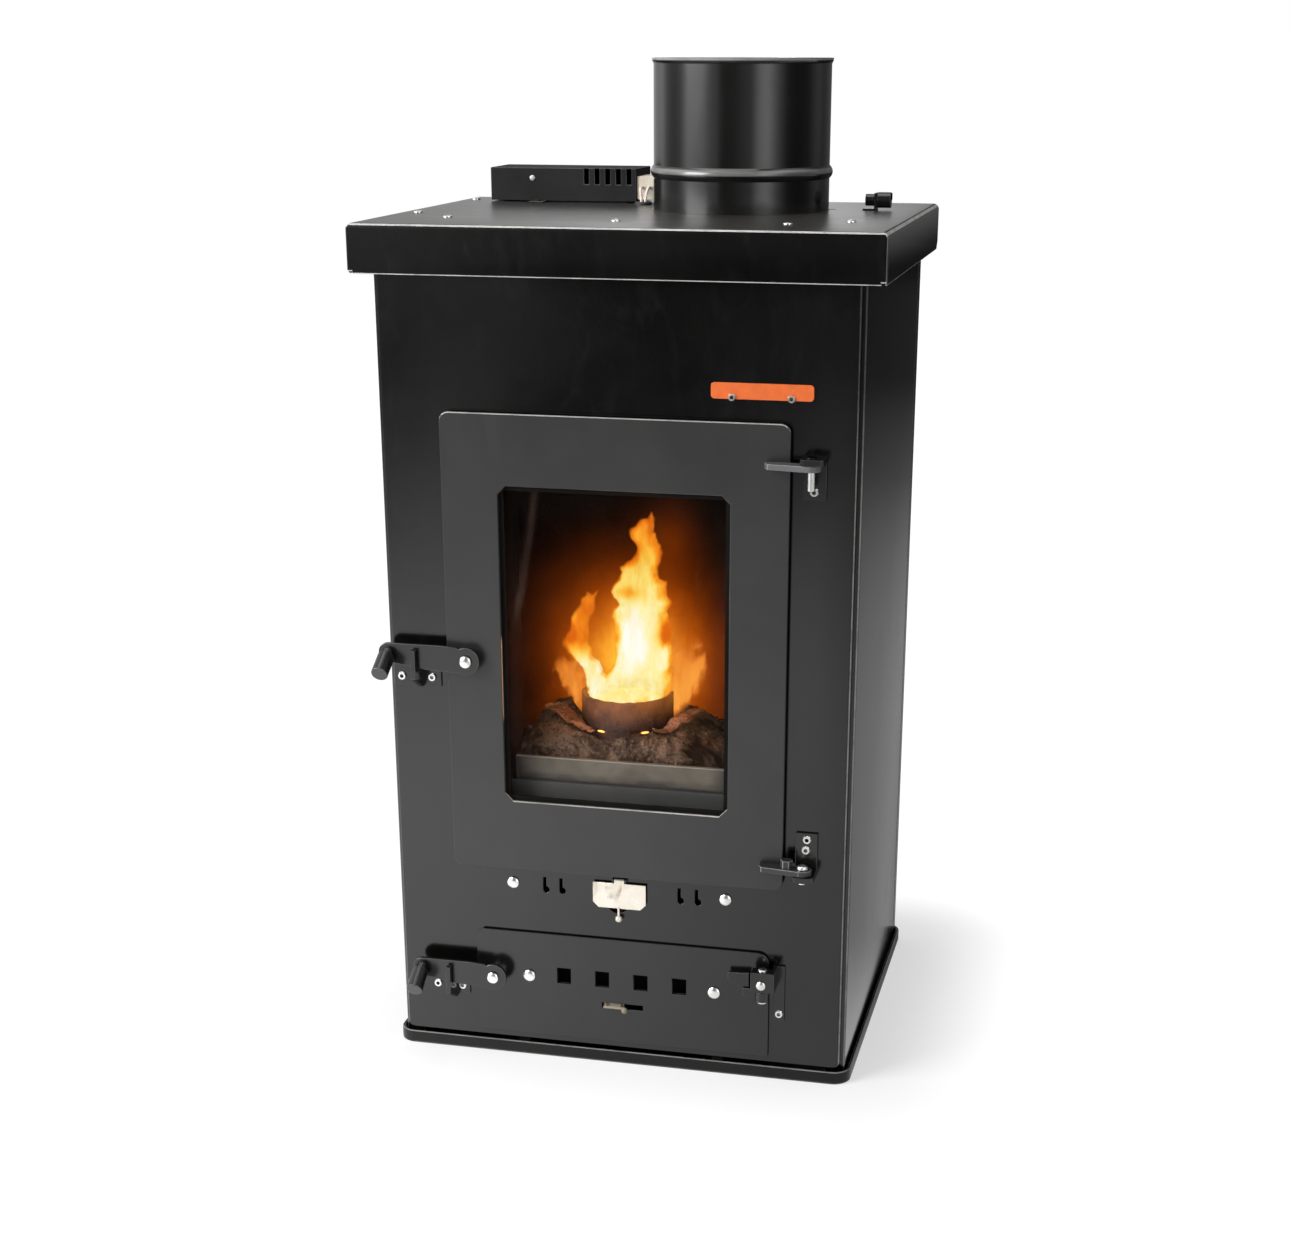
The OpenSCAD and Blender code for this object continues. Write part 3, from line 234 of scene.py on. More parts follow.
# A painted, plated or bare finish: cloudy colour, smudges, fine grain, small specks
def makeFinish(name, settings):
    s = {**plainFinish, **settings}
    g, p = newMaterial(name)
    x, y, z = g.parts(p)
    cloud = g.noise(p, s["cloudScale"], 5, 0.6, 0.4)
    fine = g.noise(p, s["grainScale"], 2, 0.5)
    smudge = g.noise(g.stretch(p, (1, 1, 0.5)), s["smudgeScale"], 6, 0.65, 0.8)
    speck = 1.0 - g.cells(p, s["speckScale"]).step(0.0, 0.13)
    speck = speck * g.noise(p, s["speckScale"] * 0.31, 1).step(0.58, 0.68)
    colour = g.blend(cloud.step(0.32, 0.72), s["colour"], s["haze"])
    colour = g.blend(smudge.step(0.5, 0.8) * s["smudge"], colour, s["smudgeColour"])
    colour = g.blend(speck * s["speck"], colour, s["speckColour"])
    rough = (s["rough"] + (cloud - 0.5) * s["roughCloud"]
             + smudge.step(0.45, 0.85) * s["roughSmudge"] + (fine - 0.5) * 0.06)
    # level bands of another colour: dust, soot, dark joints and bare metal, and also painted
    # highlights and painted shade
    for given in s["bands"]:
        band = {**plainBand, **given}
        inside = z.within(band["low"], band["high"], band["soft"])
        broken = 1.0 - g.noise(p, band["brokenScale"], 5, 0.6).step(0.3, 0.75) * band["broken"]
        colour = g.blend(inside * broken * band["amount"], colour, band["colour"])
        rough = rough + inside * band["rough"]
    if "ends" in s:
        ends = s["ends"]
        soiled = (x.size() + (cloud - 0.5) * 0.03).step(ends["from"], ends["to"])
        colour = g.blend(soiled * ends["amount"], colour, ends["colour"])
    # the cut faces of the hole: near black, painted shade, and a warm patch on its left side,
    # painted firelight
    if "hole" in s:
        hole, warm = s["hole"], s["hole"]["warm"]
        inside = ((1.0 - x.size().over(hole["half"])) * z.over(hole["low"])
                  * (1.0 - z.over(hole["high"])) * y.over(doorFront + hole["front"]))
        lit = (z.within(warm["low"], warm["high"], warm["soft"]) * (1.0 - x.over(0.0))
               * (1.0 - y.over(doorFront + warm["deep"])))
        colour = g.blend(inside, colour, g.blend(lit, hole["colour"], warm["colour"]))
        rough = rough + inside * hole["rough"]
    metal = s["metal"]
    # marked faces take the finish's mark colour: on bevelled edges and folds a painted highlight
    # along with worn paint, inside screw sockets painted shade, on the box's screw bare metal
    if "mark" in s:
        mark = g.attribute("mark")
        wornAndLit = 0.6 + g.noise(p, 55, 4, 0.65).step(0.3, 0.6) * 0.4
        colour = g.blend(mark * wornAndLit, colour, s["mark"])
        metal = mark * s["markMetal"] if "markMetal" in s else metal
    normal = g.bump(g.noise(p, 11, 1), s["wave"], 0.35, g.bump(fine, s["peel"], 0.6))
    g.surface(
        colour=colour, Roughness=rough.held(0.04, 1), Metallic=metal, Normal=normal,
        IOR=s["ior"], shine=s["shine"], coat=s["coat"], coatRough=0.1)


# mark: the colour of marked faces, here a faint painted highlight with worn paint on bevelled edges
# and folds
blackPaint = {
    "colour": (0.0038, 0.0037, 0.0038), "haze": (0.0068, 0.0064, 0.0061), "rough": 0.2,
    "roughCloud": 0.05, "roughSmudge": 0.05, "smudge": 0.25, "smudgeColour": (0.011, 0.0105, 0.01),
    "speck": 0.25, "speckColour": (0.05, 0.048, 0.045), "peel": 0.000012, "wave": 0.00025,
    "mark": (0.07, 0.068, 0.065),
}
glossPaint = dict(
    blackPaint, colour=(0.0018, 0.0017, 0.0017), haze=(0.0034, 0.0031, 0.0029), rough=0.15,
    roughCloud=0.04, roughSmudge=0.04)
# the panels' metallic mark: painted highlights along their edges, with paint worn to bare metal
panelPaint = dict(glossPaint, mark=(0.2, 0.196, 0.19), markMetal=0.8)
# the faces of the cut for the glass are near black, painted shade, with a painted patch of
# firelight on its left side; the mark on its edges is a painted highlight with worn paint
doorPaint = dict(
    blackPaint, colour=(0.011, 0.011, 0.0112), haze=(0.016, 0.0155, 0.015), rough=0.34,
    mark=(0.36, 0.35, 0.33), hole={"half": 0.0992, "low": 0.24495, "high": 0.5211, "front": 0.0005,
        "rough": 0.6, "colour": (0.0012, 0.001, 0.001), "warm": {"low": 0.325, "high": 0.385,
        "soft": 0.01, "deep": 0.0026, "colour": (0.75, 0.45, 0.26)}})
# the lid's mark: painted highlights along its edges and folds, with worn paint
lidPaint = dict(
    glossPaint, mark=(0.5, 0.49, 0.47), smudge=0.4, bands=({"low": 0.7294, "high": 0.7306,
        "colour": (0.026, 0.0245, 0.023), "broken": 0.5, "rough": 0.17},))
# the flue: its two pale bands, along the bead and along the top rim, are painted highlights
fluePaint = dict(
    blackPaint, rough=0.17, colour=(0.0055, 0.0053, 0.005), mark=(0.1, 0.1, 0.1),
    bands=({"low": 0.7622, "high": 0.7652, "soft": 0.0014, "colour": (0.17, 0.17, 0.165),
        "broken": 0.7, "brokenScale": 9}, {"low": 0.8532, "high": 0.856, "colour": (0.3, 0.3, 0.29),
        "broken": 0.3}))
# the base's mark: a painted highlight along its rounded fold, with worn paint
basePaint = dict(blackPaint, rough=0.42, ior=1.3, mark=(0.2, 0.195, 0.19))
# the box's mark: its bare screw, and painted highlights with worn paint on its edges
boxPaint = dict(
    blackPaint, rough=0.65, ior=1.12, shine=0.2, colour=(0.02, 0.02, 0.0205),
    haze=(0.027, 0.027, 0.027), mark=(0.55, 0.54, 0.5), markMetal=0.7)
# near black: soot, and painted shade on the glass gasket
sootAndShadeBlack = dict(
    blackPaint, rough=0.85, ior=1.2, colour=(0.003, 0.0028, 0.0026), haze=(0.006, 0.0055, 0.005))
# the tab of the slider that shows in the slot of the ash door is bare
sliderSteel = dict(
    sootAndShadeBlack, bands=({"low": 0.02, "high": 0.0625, "colour": (0.3, 0.26, 0.2), "broken": 0.4},))
# the arms: the band makes them darker below 0.3 m, painted shade on the lower arm; their mark is a
# painted highlight with worn paint
armPaint = {
    "colour": (0.066, 0.067, 0.07), "haze": (0.105, 0.105, 0.11), "rough": 0.42, "metal": 0.3,
    "smudge": 0.5, "smudgeColour": (0.035, 0.035, 0.036),
    "speckColour": (0.25, 0.24, 0.23), "peel": 0.00003, "wave": 0.0002, "mark": (0.22, 0.22, 0.22),
    "bands": ({"low": 0.1, "high": 0.3, "soft": 0.1, "colour": (0.016, 0.016, 0.017),
        "amount": 0.85},),
}
sootSteel = {
    "colour": (0.028, 0.024, 0.021), "haze": (0.06, 0.05, 0.042), "rough": 0.68, "smudge": 0.7,
    "smudgeColour": (0.008, 0.007, 0.0065), "speck": 0.3, "speckColour": (0.2, 0.18, 0.16),
    "peel": 0.00006, "grainScale": 600, "wave": 0.0003,
}
greySteel = {
    "colour": (0.26, 0.26, 0.255), "haze": (0.36, 0.355, 0.345), "rough": 0.36, "metal": 0.75,
    "smudge": 0.5, "smudgeColour": (0.12, 0.115, 0.11),
    "speckColour": (0.08, 0.07, 0.06), "wave": 0.0002,
}
# the zinc's dark mark: painted shade inside the sockets of the screw heads
zincPlate = {
    "colour": (0.62, 0.62, 0.6), "haze": (0.74, 0.735, 0.72), "rough": 0.26, "metal": 1.0,
    "smudge": 0.4, "smudgeColour": (0.4, 0.39, 0.37),
    "speckColour": (0.25, 0.24, 0.22), "grainScale": 1500, "peel": 0.00001, "cloudScale": 120,
    "mark": (0.004, 0.004, 0.004),
}
# the head of the upper hinge pin is near black
pinZinc = dict(
    zincPlate, bands=({"low": 0.5545, "high": 0.58, "colour": (0.01, 0.01, 0.01), "rough": 0.1},))
nickelPlate = {
    "colour": (0.72, 0.68, 0.6), "haze": (0.62, 0.56, 0.46), "rough": 0.3, "metal": 0.55,
    "cloudScale": 60, "smudgeScale": 70, "smudge": 0.85, "smudgeColour": (0.17, 0.1, 0.06),
    "speck": 0.6, "speckColour": (0.1, 0.07, 0.05),
}
orangeEnamel = {
    "colour": (0.72, 0.145, 0.025), "haze": (0.64, 0.115, 0.02), "rough": 0.3, "cloudScale": 90,
    "smudgeColour": (0.5, 0.09, 0.02), "speck": 0.2,
    "speckColour": (0.3, 0.06, 0.02), "coat": 0.4, "peel": 0.00001,
}
blackPlastic = dict(
    blackPaint, colour=(0.006, 0.006, 0.006), haze=(0.009, 0.009, 0.009), rough=0.24, peel=0.00003,
    grainScale=1300)
creamPlastic = {
    "colour": (0.62, 0.56, 0.44), "haze": (0.7, 0.66, 0.56), "rough": 0.45, "cloudScale": 80,
    "smudge": 0.4, "smudgeColour": (0.35, 0.3, 0.22), "speck": 0.2,
}
blackRubber = dict(
    blackPaint, rough=0.55, colour=(0.01, 0.01, 0.01), haze=(0.018, 0.018, 0.018), peel=0.00004)
leadSleeve = {
    "colour": (0.68, 0.56, 0.5), "haze": (0.78, 0.7, 0.64), "rough": 0.55, "cloudScale": 120,
    "smudge": 0.5, "smudgeColour": (0.4, 0.27, 0.22), "speck": 0.3, "peel": 0.00003,
}
# Beige-grey bar in front of the burner, sooty and with a dark joint line at its foot; the mark on
# its edges is a painted highlight with worn paint
barSteel = {
    "colour": (0.088, 0.072, 0.054), "haze": (0.138, 0.118, 0.09), "rough": 0.6, "metal": 0.1,
    "cloudScale": 30, "smudge": 0.75, "smudgeScale": 45, "smudgeColour": (0.05, 0.04, 0.033),
    "speck": 0.6, "speckScale": 320, "speckColour": (0.5, 0.46, 0.4), "peel": 0.00008,
    "mark": (0.25, 0.235, 0.21), "ends": {"from": 0.078, "to": 0.096, "amount": 0.85,
        "colour": (0.01, 0.009, 0.008)}, "bands": ({"low": 0.25, "high": 0.2583, "soft": 0.003,
        "colour": (0.004, 0.0035, 0.003)}, {"low": 0.25, "high": 0.261, "soft": 0.006,
        "colour": (0.02, 0.016, 0.013), "broken": 0.95, "brokenScale": 45}),
}
lipSteel = {
    "colour": (0.045, 0.046, 0.045), "haze": (0.068, 0.067, 0.062), "rough": 0.5, "metal": 0.2,
    "smudge": 0.5, "smudgeColour": (0.014, 0.013, 0.012), "speck": 0.5, "peel": 0.00004,
}
graphiteRope = {
    "colour": (0.03, 0.03, 0.029), "haze": (0.055, 0.054, 0.05), "rough": 0.85, "smudge": 0.4,
    "smudgeColour": (0.015, 0.015, 0.015), "peel": 0.0001, "grainScale": 700,
}
for name, settings in dict(
        blackPaint=blackPaint, panelPaint=panelPaint, sliderSteel=sliderSteel, doorPaint=doorPaint,
        fluePaint=fluePaint, basePaint=basePaint, sootAndShadeBlack=sootAndShadeBlack, armPaint=armPaint,
        pinZinc=pinZinc, lidPaint=lidPaint, boxPaint=boxPaint, sootSteel=sootSteel,
        greySteel=greySteel, zinc=zincPlate, nickel=nickelPlate, orangeEnamel=orangeEnamel,
        blackPlastic=blackPlastic, creamPlastic=creamPlastic, blackRubber=blackRubber,
        leadSleeve=leadSleeve, barSteel=barSteel, lipSteel=lipSteel,
        graphiteRope=graphiteRope).items():
    makeFinish(name, settings)

# Firebox lining: soot-dark steel; the glow of the fire on it falls off from a line that runs back
# and down through the flame, and starts behind the door
fireGlow = {
    "centre": (-0.002, -0.095, 0.352), "back": (-0.25, -0.276), "reach": (0.056, 0.062, 0.075),
    "door": 0.1715, "red": (1.44, 0.21, 0.0017), "yellow": (0.0, 0.7, 0.07),
    # smoke lit behind the tip of the flame: middle, half sizes, level
    "plume": ((-0.002, 0.43), (0.022, 0.032), 0.075),
}


def makeFireLining():
    s = fireGlow
    g, p = newMaterial("fireLining")
    x, y, z = g.parts(p)
    cx, cy, cz = s["centre"]
    across = (x - cx - (y - cy) * s["back"][0]) / s["reach"][0]
    up = z - cz - (y - cy) * s["back"][1]
    up = up.most(0.0) / s["reach"][1] + up.least(0.0) / s["reach"][2]
    soot = g.noise(p, 26, 6, 0.65, 0.6)
    ripple = g.noise(g.stretch(p, (1, 1, 0.6)), 13, 5, 0.6, 0.8)
    fall = ((across * across + up * up) * (0.7 + ripple * 0.6)).fading()
    (px, pz), (wide, tall), level = s["plume"]
    aside, above = (x - px) / wide, (z - pz) / tall
    fall = fall + (aside * aside + above * above).fading() * y.over(0.0) * level
    fall = fall * (0.82 + soot.step(0.3, 0.7) * 0.18) * (y + s["door"]).over(0.0)
    glow = g.blend(1.0, g.blend(fall, (0, 0, 0), s["red"]),
                   g.blend(fall ** 3, (0, 0, 0), s["yellow"]), "ADD")
    scale = g.noise(p, 420, 3)
    colour = g.blend(soot.step(0.35, 0.7), (0.0016, 0.0011, 0.0009), (0.006, 0.004, 0.003))
    normal = g.bump(scale, 0.0002, 0.6, g.bump(soot, 0.002, 0.4))
    g.surface(colour=colour, Roughness=(0.72 + (soot - 0.5) * 0.3).held(), Normal=normal,
              IOR=1.1, glow=glow, power=1.0)


# Rust-brown pot: scaled steel, hot round its upper rim
def makeRust():
    g, p = newMaterial("rustedSteel")
    patch = g.noise(p, 70, 6, 0.65, 0.7)
    scale = g.noise(p, 340, 4, 0.6)
    pits = g.cells(p, 480).step(0.0, 0.5)
    colour = g.blend(patch.step(0.35, 0.65), (0.032, 0.012, 0.0075), (0.092, 0.038, 0.023))
    colour = g.blend(g.noise(p, 150, 5, 0.7).step(0.55, 0.75) * 0.7, colour, (0.17, 0.1, 0.07))
    colour = g.blend((1.0 - pits) * 0.6, colour, (0.02, 0.012, 0.01))
    z = g.parts(p)[2]
    heat = z.step(0.3, 0.329) * (0.4 + g.noise(p, 60, 3).step(0.2, 0.7) * 0.6)
    glow = g.blend(heat, (0.0, 0.0, 0.0), (0.3, 0.09, 0.014))
    normal = g.bump(scale, 0.0004, 0.8, g.bump(patch, 0.0012, 0.7))
    g.surface(colour=colour, Roughness=(0.8 + (patch - 0.5) * 0.25).held(),
              Metallic=0.15, Normal=normal, glow=glow, power=1.0)


# Clear ceramic glass with a thin film of smoke, denser at its borders, and one leaning streak
glassFilm = {"clear": 0.012, "film": 0.03, "half": (0.095, 0.132), "middle": 0.383}
sootStreak = {
    "foot": (-0.0955, 0.385), "lean": 0.0275, "rise": 0.134, "wide": 0.0055, "amount": 0.13,
    "colour": (0.1, 0.045, 0.025),
}


def makeGlass():
    s, streak = glassFilm, sootStreak
    g, p = newMaterial("smokedGlass")
    x, y, z = g.parts(p)
    cloud = g.noise(p, 24, 5, 0.6, 0.5)
    wipe = g.noise(g.stretch(p, (1.0, 1, 0.25)), 90, 4, 0.6)
    edge = (x.size() / s["half"][0]).most((z - s["middle"]).size() / s["half"][1])
    rim = (edge + (cloud - 0.5) * 0.3).step(0.72, 1.1)
    alpha = s["clear"] + rim * s["film"] + wipe.step(0.5, 0.8) * 0.02
    up = ((z - streak["foot"][1]) / streak["rise"]).held()
    away = (x - streak["foot"][0] - (up ** 0.7) * streak["lean"]).size() + (wipe - 0.5) * 0.002
    trail = ((1.0 - away.step(0.0, streak["wide"])) * up.step(0.0, 0.25)
             * (0.5 + cloud.step(0.3, 0.7) * 0.5))
    alpha = alpha + trail * streak["amount"]
    colour = g.blend(cloud, (0.02, 0.016, 0.013), (0.045, 0.036, 0.03))
    colour = g.blend(trail, colour, streak["colour"])
    g.surface(
        colour=colour, Roughness=0.03 + wipe * 0.05, Alpha=alpha.held(),
        Normal=g.bump(g.noise(p, 14, 1), 0.0004, 0.2), IOR=1.5)


makeFireLining()
makeRust()
makeGlass()
print("stage: finishes made,", len(finishes))

# CAD shells with broken edges
recordSlot = {part["node"]: part["material_slot"] for part in frame["record"]["subparts"]}
slotFinish = {
    "black_paint": "blackPaint", "soot_steel": "sootSteel", "grey_steel": "greySteel",
    "zinc": "zinc", "nickel": "nickel", "rusted_steel": "rustedSteel", "rope": "graphiteRope",
    "glass": "smokedGlass", "orange_enamel": "orangeEnamel", "black_plastic": "blackPlastic",
    "cream_plastic": "creamPlastic", "rubber": "blackRubber", "lead_sleeve": "leadSleeve",
}
# Nodes that look unlike the rest of their slot; the glass gasket is near black, painted shade
ownFinish = {node: name for name, group in {
    "doorPaint": "door_plate", "lidPaint": "top_lid", "boxPaint": "control_box",
    "fluePaint": "flue_collar", "basePaint": "base_tray",
    "panelPaint": "front_panel side_panel_right side_panel_left",
    "blackPaint": "hinge_brackets ash_hinge_arm", "armPaint": "hinge_arms",
    "pinZinc": "hinge_pins", "blackPlastic": "feed_bush", "sliderSteel": "air_slider",
    "barSteel": "grate_bar", "lipSteel": "ash_lip", "fireLining": "firebox baffle pellet_chute",
    "sootAndShadeBlack": "ash_box ash_pan glass_gasket door_frame",
}.items() for node in group.split()}
# Width in mm of the broken edge on each shell; the rest only get smooth round faces
edgeWidth = {node: width for width, group in {
    0.9: "top_lid door_plate", 0.8: "base_tray latch_knob ash_latch_knob",
    0.7: "front_panel side_panel_left side_panel_right grate_bar",
    0.6: "back_panel hinge_arms latch_lever ash_door_plate ash_latch_lever control_box",
    0.5: "hinge_brackets ash_hinge_arm ash_hinge_bracket",
    0.4: "door_catches terminal_block badge feed_knob filler_flap", 0.3: "ash_lip",
    0.25: "air_slider", 0.2: "ignition_flap",
}.items() for node in group.split()}
# How strong the mark is on edges that look up, down, left and right: a painted highlight along with
# worn paint
edgeWearAndHighlight = {
    "top_lid": (1.0, 1.0, 0.1, 0.2), "door_plate": (1.0, 0.0, 0.0, 0.0),
    "base_tray": (1.0, 0.1, 0.1, 0.5), "grate_bar": (1.0, 0.0, 0.3, 0.3),
    "hinge_arms": (0.6, 0.1, 1.0, 1.0), "hinge_brackets": (0.2, 0, 0, 0),
    "ash_door_plate": (0.2, 0.0, 0.0, 0.0), "front_panel": (0.0, 0.0, 0.12, 1.0),
    "side_panel_right": (0.0, 0.0, 0.2, 0.9), "side_panel_left": (0.0, 0.0, 0.2, 0.2),
    "ash_hinge_bracket": (0.5, 0.0, 0.2, 0.3), "control_box": (0.1, 0.0, 0.05, 0.1),
}
plainWearAndHighlight = (0.8, 0.2, 0.5, 0.8)
# What stands in front of this plane on the box is a bare screw
boxFront = min(v.co.y for v in nodes["control_box"].data.vertices if v.co.z > 0.745) + 0.0011
# Rounded folds that get the mark along their middle, lying and standing: a painted highlight along
# with worn paint
foldWearAndHighlight = ("top_lid", "base_tray")
standingFolds = ("front_panel", "side_panel_right", "side_panel_left")
# Only the outer edges of the front panel get the mark of painted highlight and wear, not its
# openings
outerWearAndHighlight = {"front_panel": 0.196}
# Long faces next to narrow rounds: their shading follows the long ones
evenShading = ("flue_collar",)
handMade = ("burn_pot", "rope_gasket", "motor_leads", "door_glass", "auger_flight")
screwHeads = ("button_screws", "badge_screws")
# Closer vertices are one, flatter faces are one, sharper edges stay sharp or are bevelled, and an
# outline is bevelled if it is longer than this
shell = {"weld": 0.00001, "flat": math.radians(0.4), "sharp": math.radians(28),
         "bevelled": math.radians(32), "longer": 0.01}


def finishOf(node):
    return recordSlot[node], ownFinish.get(node, slotFinish[recordSlot[node]])


# Applies the modifiers of a piece
def bare(piece):
    dg = bpy.context.evaluated_depsgraph_get()
    mesh = bpy.data.meshes.new_from_object(piece.evaluated_get(dg))
    piece.modifiers.clear()
    piece.data = mesh
    mesh.name = piece.name


def modify(piece, kind, **values):
    setAll(piece.modifiers.new("made", kind), values)
    bare(piece)


def paint(mesh, material):
    mesh.materials.clear()
    mesh.materials.append(finishes[material])


def dress(piece, body, material, slotName, *replaced):
    paint(piece.data, material)
    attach(piece, body)
    for node in replaced:
        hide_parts(node)
    return piece


def addPiece(name, mesh, *dressing):
    return dress(newObject(name, mesh), *dressing)


def weldedForm(mesh):
    form = bmesh.new()
    form.from_mesh(mesh)
    bmesh.ops.remove_doubles(form, verts=form.verts, dist=shell["weld"])
    return form


def meshOf(name, form, closed=True):
    if closed:
        bmesh.ops.recalc_face_normals(form, faces=form.faces)
        for face in form.faces:
            face.smooth = True
    mesh = bpy.data.meshes.new(name)
    form.to_mesh(mesh)
    form.free()
    return mesh


# Groups of linked items; around(item) gives the neighbours of one
def islands(items, around):
    left, groups = set(items), []
    while left:
        group, front = [], [left.pop()]
        while front:
            item = front.pop()
            group.append(item)
            for other in around(item):
                if other in left:
                    left.remove(other)
                    front.append(other)
        groups.append(group)
    return groups


def edgeAngle(edge):
    return edge.calc_face_angle(0) if len(edge.link_faces) == 2 else 0


# Long outlines are bevelled; the rims of small holes stay as they are
def weighOutlines(form):
    weight = form.edges.layers.float.new("bevel_weight_edge")
    sharp = [e for e in form.edges if edgeAngle(e) > shell["bevelled"] and e.is_convex]
    for group in islands(sharp, lambda e: [other for v in e.verts for other in v.link_edges]):
        corners = [v.co for e in group for v in e.verts]
        if max(max(c[i] for c in corners) - min(c[i] for c in corners)
               for i in range(3)) > shell["longer"]:
            for edge in group:
                edge[weight] = 1.0


def markFaces(mesh, values):
    mark = mesh.attributes.new("mark", "FLOAT", "FACE")
    mark.data.foreach_set("value", np.array(values, np.float32))


# How strong the mark is on a face: painted highlight and wear on bevels and folds, bare metal on
# the box's screw. The bevel gives its faces material index 1
def markOf(node, face):
    n, x = face.normal, face.center.x
    if node == "control_box" and face.center.y < boxFront and face.center.z > 0.7352:
        return 1.0
    lying = node in foldWearAndHighlight and 0.45 < abs(n.z) < 0.87
    standing = (node in standingFolds and 0.5 < abs(n.x) < 0.87 and abs(n.z) < 0.3
                and n.x * x > 0)
    wornAndLit = lying or standing or face.material_index == 1
    if not wornAndLit or abs(x) < outerWearAndHighlight.get(node, 0):
        return 0.0
    up, down, left, right = edgeWearAndHighlight.get(node, plainWearAndHighlight)
    return up if n.z > 0.3 else down if n.z < -0.3 else left if n.x < 0 else right


# Inside of the sockets in forward-facing button heads, which get the dark mark of painted shade
screwSocket = {"head": 0.0015, "share": 0.48, "front": 0.0002, "floor": 0.0019}


def socketMarks(form):
    values = {}
    for group in islands(form.faces, lambda f: [o for e in f.edges for o in e.link_faces]):
        corners = [v.co for f in group for v in f.verts]
        front = min(c.y for c in corners)
        head = [c for c in corners if c.y < front + screwSocket["head"]]
        x0, x1 = min(c.x for c in head), max(c.x for c in head)
        z0, z1 = min(c.z for c in head), max(c.z for c in head)
        for face in group:
            c = face.calc_center_median()
            reach = math.hypot(c.x - (x0 + x1) / 2, c.z - (z0 + z1) / 2)
            values[face.index] = float(
                reach < screwSocket["share"] * (x1 - x0) / 2
                and front + screwSocket["front"] < c.y < front + screwSocket["floor"])
    return [values[i] for i in range(len(form.faces))]


def softenEdges(node):
    mesh = nodes[node].data.copy()
    form = weldedForm(mesh)
    bmesh.ops.dissolve_limit(form, angle_limit=shell["flat"], verts=form.verts, edges=form.edges)
    weighOutlines(form)
    form.faces.index_update()
    sockets = socketMarks(form) if node in screwHeads else None
    for face in form.faces:
        face.smooth = True
    for edge in form.edges:
        edge.smooth = edgeAngle(edge) <= shell["sharp"]
    mesh.materials.clear()
    form.to_mesh(mesh)
    form.free()
    if mesh.has_custom_normals:
        mesh.attributes.remove(mesh.attributes["custom_normal"])
    slotName, material = finishOf(node)
    piece = newObject(node + "Shell", mesh)
    if node in edgeWidth:
        for i in range(2):
            mesh.materials.append(finishes[material])
        modify(piece, "BEVEL", width=edgeWidth[node] / 1000, segments=2, limit_method="WEIGHT",
               use_clamp_overlap=False, harden_normals=True, miter_outer="MITER_ARC", material=1)
        markFaces(piece.data, [markOf(node, f) for f in piece.data.polygons])
        for face in piece.data.polygons:
            face.material_index = 0
    elif sockets:
        markFaces(mesh, sockets)
    elif node in evenShading:
        modify(piece, "WEIGHTED_NORMAL", keep_sharp=True, weight=100)
    dress(piece, nodeBody[node], material, slotName, node)


for node in sorted(nodes):
    if node not in handMade:
        softenEdges(node)
for node in handMade:
    paint(nodes[node].data, finishOf(node)[1])
print("stage: shells made")

# What burns
potPlace = Vector((-0.010, -0.095, 0.2622))
# the upper part of the rim, given here, is eaten unevenly
pot = {"radius": 0.041, "height": 0.064, "rim": 0.006, "voxel": 0.0009}


def roughness(x, y, z, scale, octaves=4):
    return noise.fractal(Vector((x, y, z)) * scale, 0.75, 2.1, octaves)


# Closed tube along points; radius(i, angle) gives the distance from the path in two directions
def sweep(name, path, radius, sides, ring=False, guide=None):
    form = bmesh.new()
    rows, count = [], len(path)
    for i, point in enumerate(path):
        ahead = path[(i + 1) % count] if ring else path[min(i + 1, count - 1)]
        back = path[(i - 1) % count] if ring else path[max(i - 1, 0)]
        along = (ahead - back).normalized()
        side = guide or (Vector((0, 0, 1)) if abs(along.z) < 0.8 else Vector((0, 1, 0)))
        across = along.cross(side).normalized()
        other = along.cross(across)
        row = []
        for k in range(sides):
            angle = math.tau * k / sides
            a, b = radius(i, angle)
            place = point + across * a * math.cos(angle) + other * b * math.sin(angle)
            row.append(form.verts.new(place))
        rows.append(row)
    for i in range(count if ring else count - 1):
        near, far = rows[i], rows[(i + 1) % count]
        for k in range(sides):
            form.faces.new((near[k], near[(k + 1) % sides], far[(k + 1) % sides], far[k]))
    if not ring:
        form.faces.new(list(reversed(rows[0])))
        form.faces.new(rows[-1])
    return meshOf(name, form)


def smoothRoute(points, steps):
    route = []
    for i in range(len(points) - 1):
        a, b = points[max(i - 1, 0)], points[i]
        c, d = points[i + 1], points[min(i + 2, len(points) - 1)]
        for k in range(steps):
            t = k / steps
            route.append(0.5 * (2 * b + (c - a) * t + (2 * a - 5 * b + 4 * c - d) * t * t
                                + (3 * b - a - 3 * c + d) * t ** 3))
    return route + [points[-1]]


# Burn pot: the turned shell of the CAD part, scaled and eaten by heat
def makePot():
    mesh = nodes["burn_pot"].data.copy()
    form = weldedForm(mesh)
    form.to_mesh(mesh)
    form.free()
    piece = newObject("burnPotBody", mesh)
    modify(piece, "REMESH", mode="VOXEL", voxel_size=pot["voxel"], use_smooth_shade=True)
    for vertex in piece.data.vertices:
        x, y, z = vertex.co
        flake = roughness(x, y, z, 55) * 0.0005 + roughness(x, y, z, 240, 2) * 0.00022
        away = (vertex.co - potPlace) * Vector((1, 1, 0))
        vertex.co -= away.normalized() * abs(flake)
        rim = max(0.0, (z - potPlace.z - pot["height"] + pot["rim"]) / pot["rim"])
        vertex.co.z -= rim * abs(roughness(x, y, 0, 70)) * 0.0011
    dress(piece, "stove", "rustedSteel", "rusted_steel", "burn_pot")


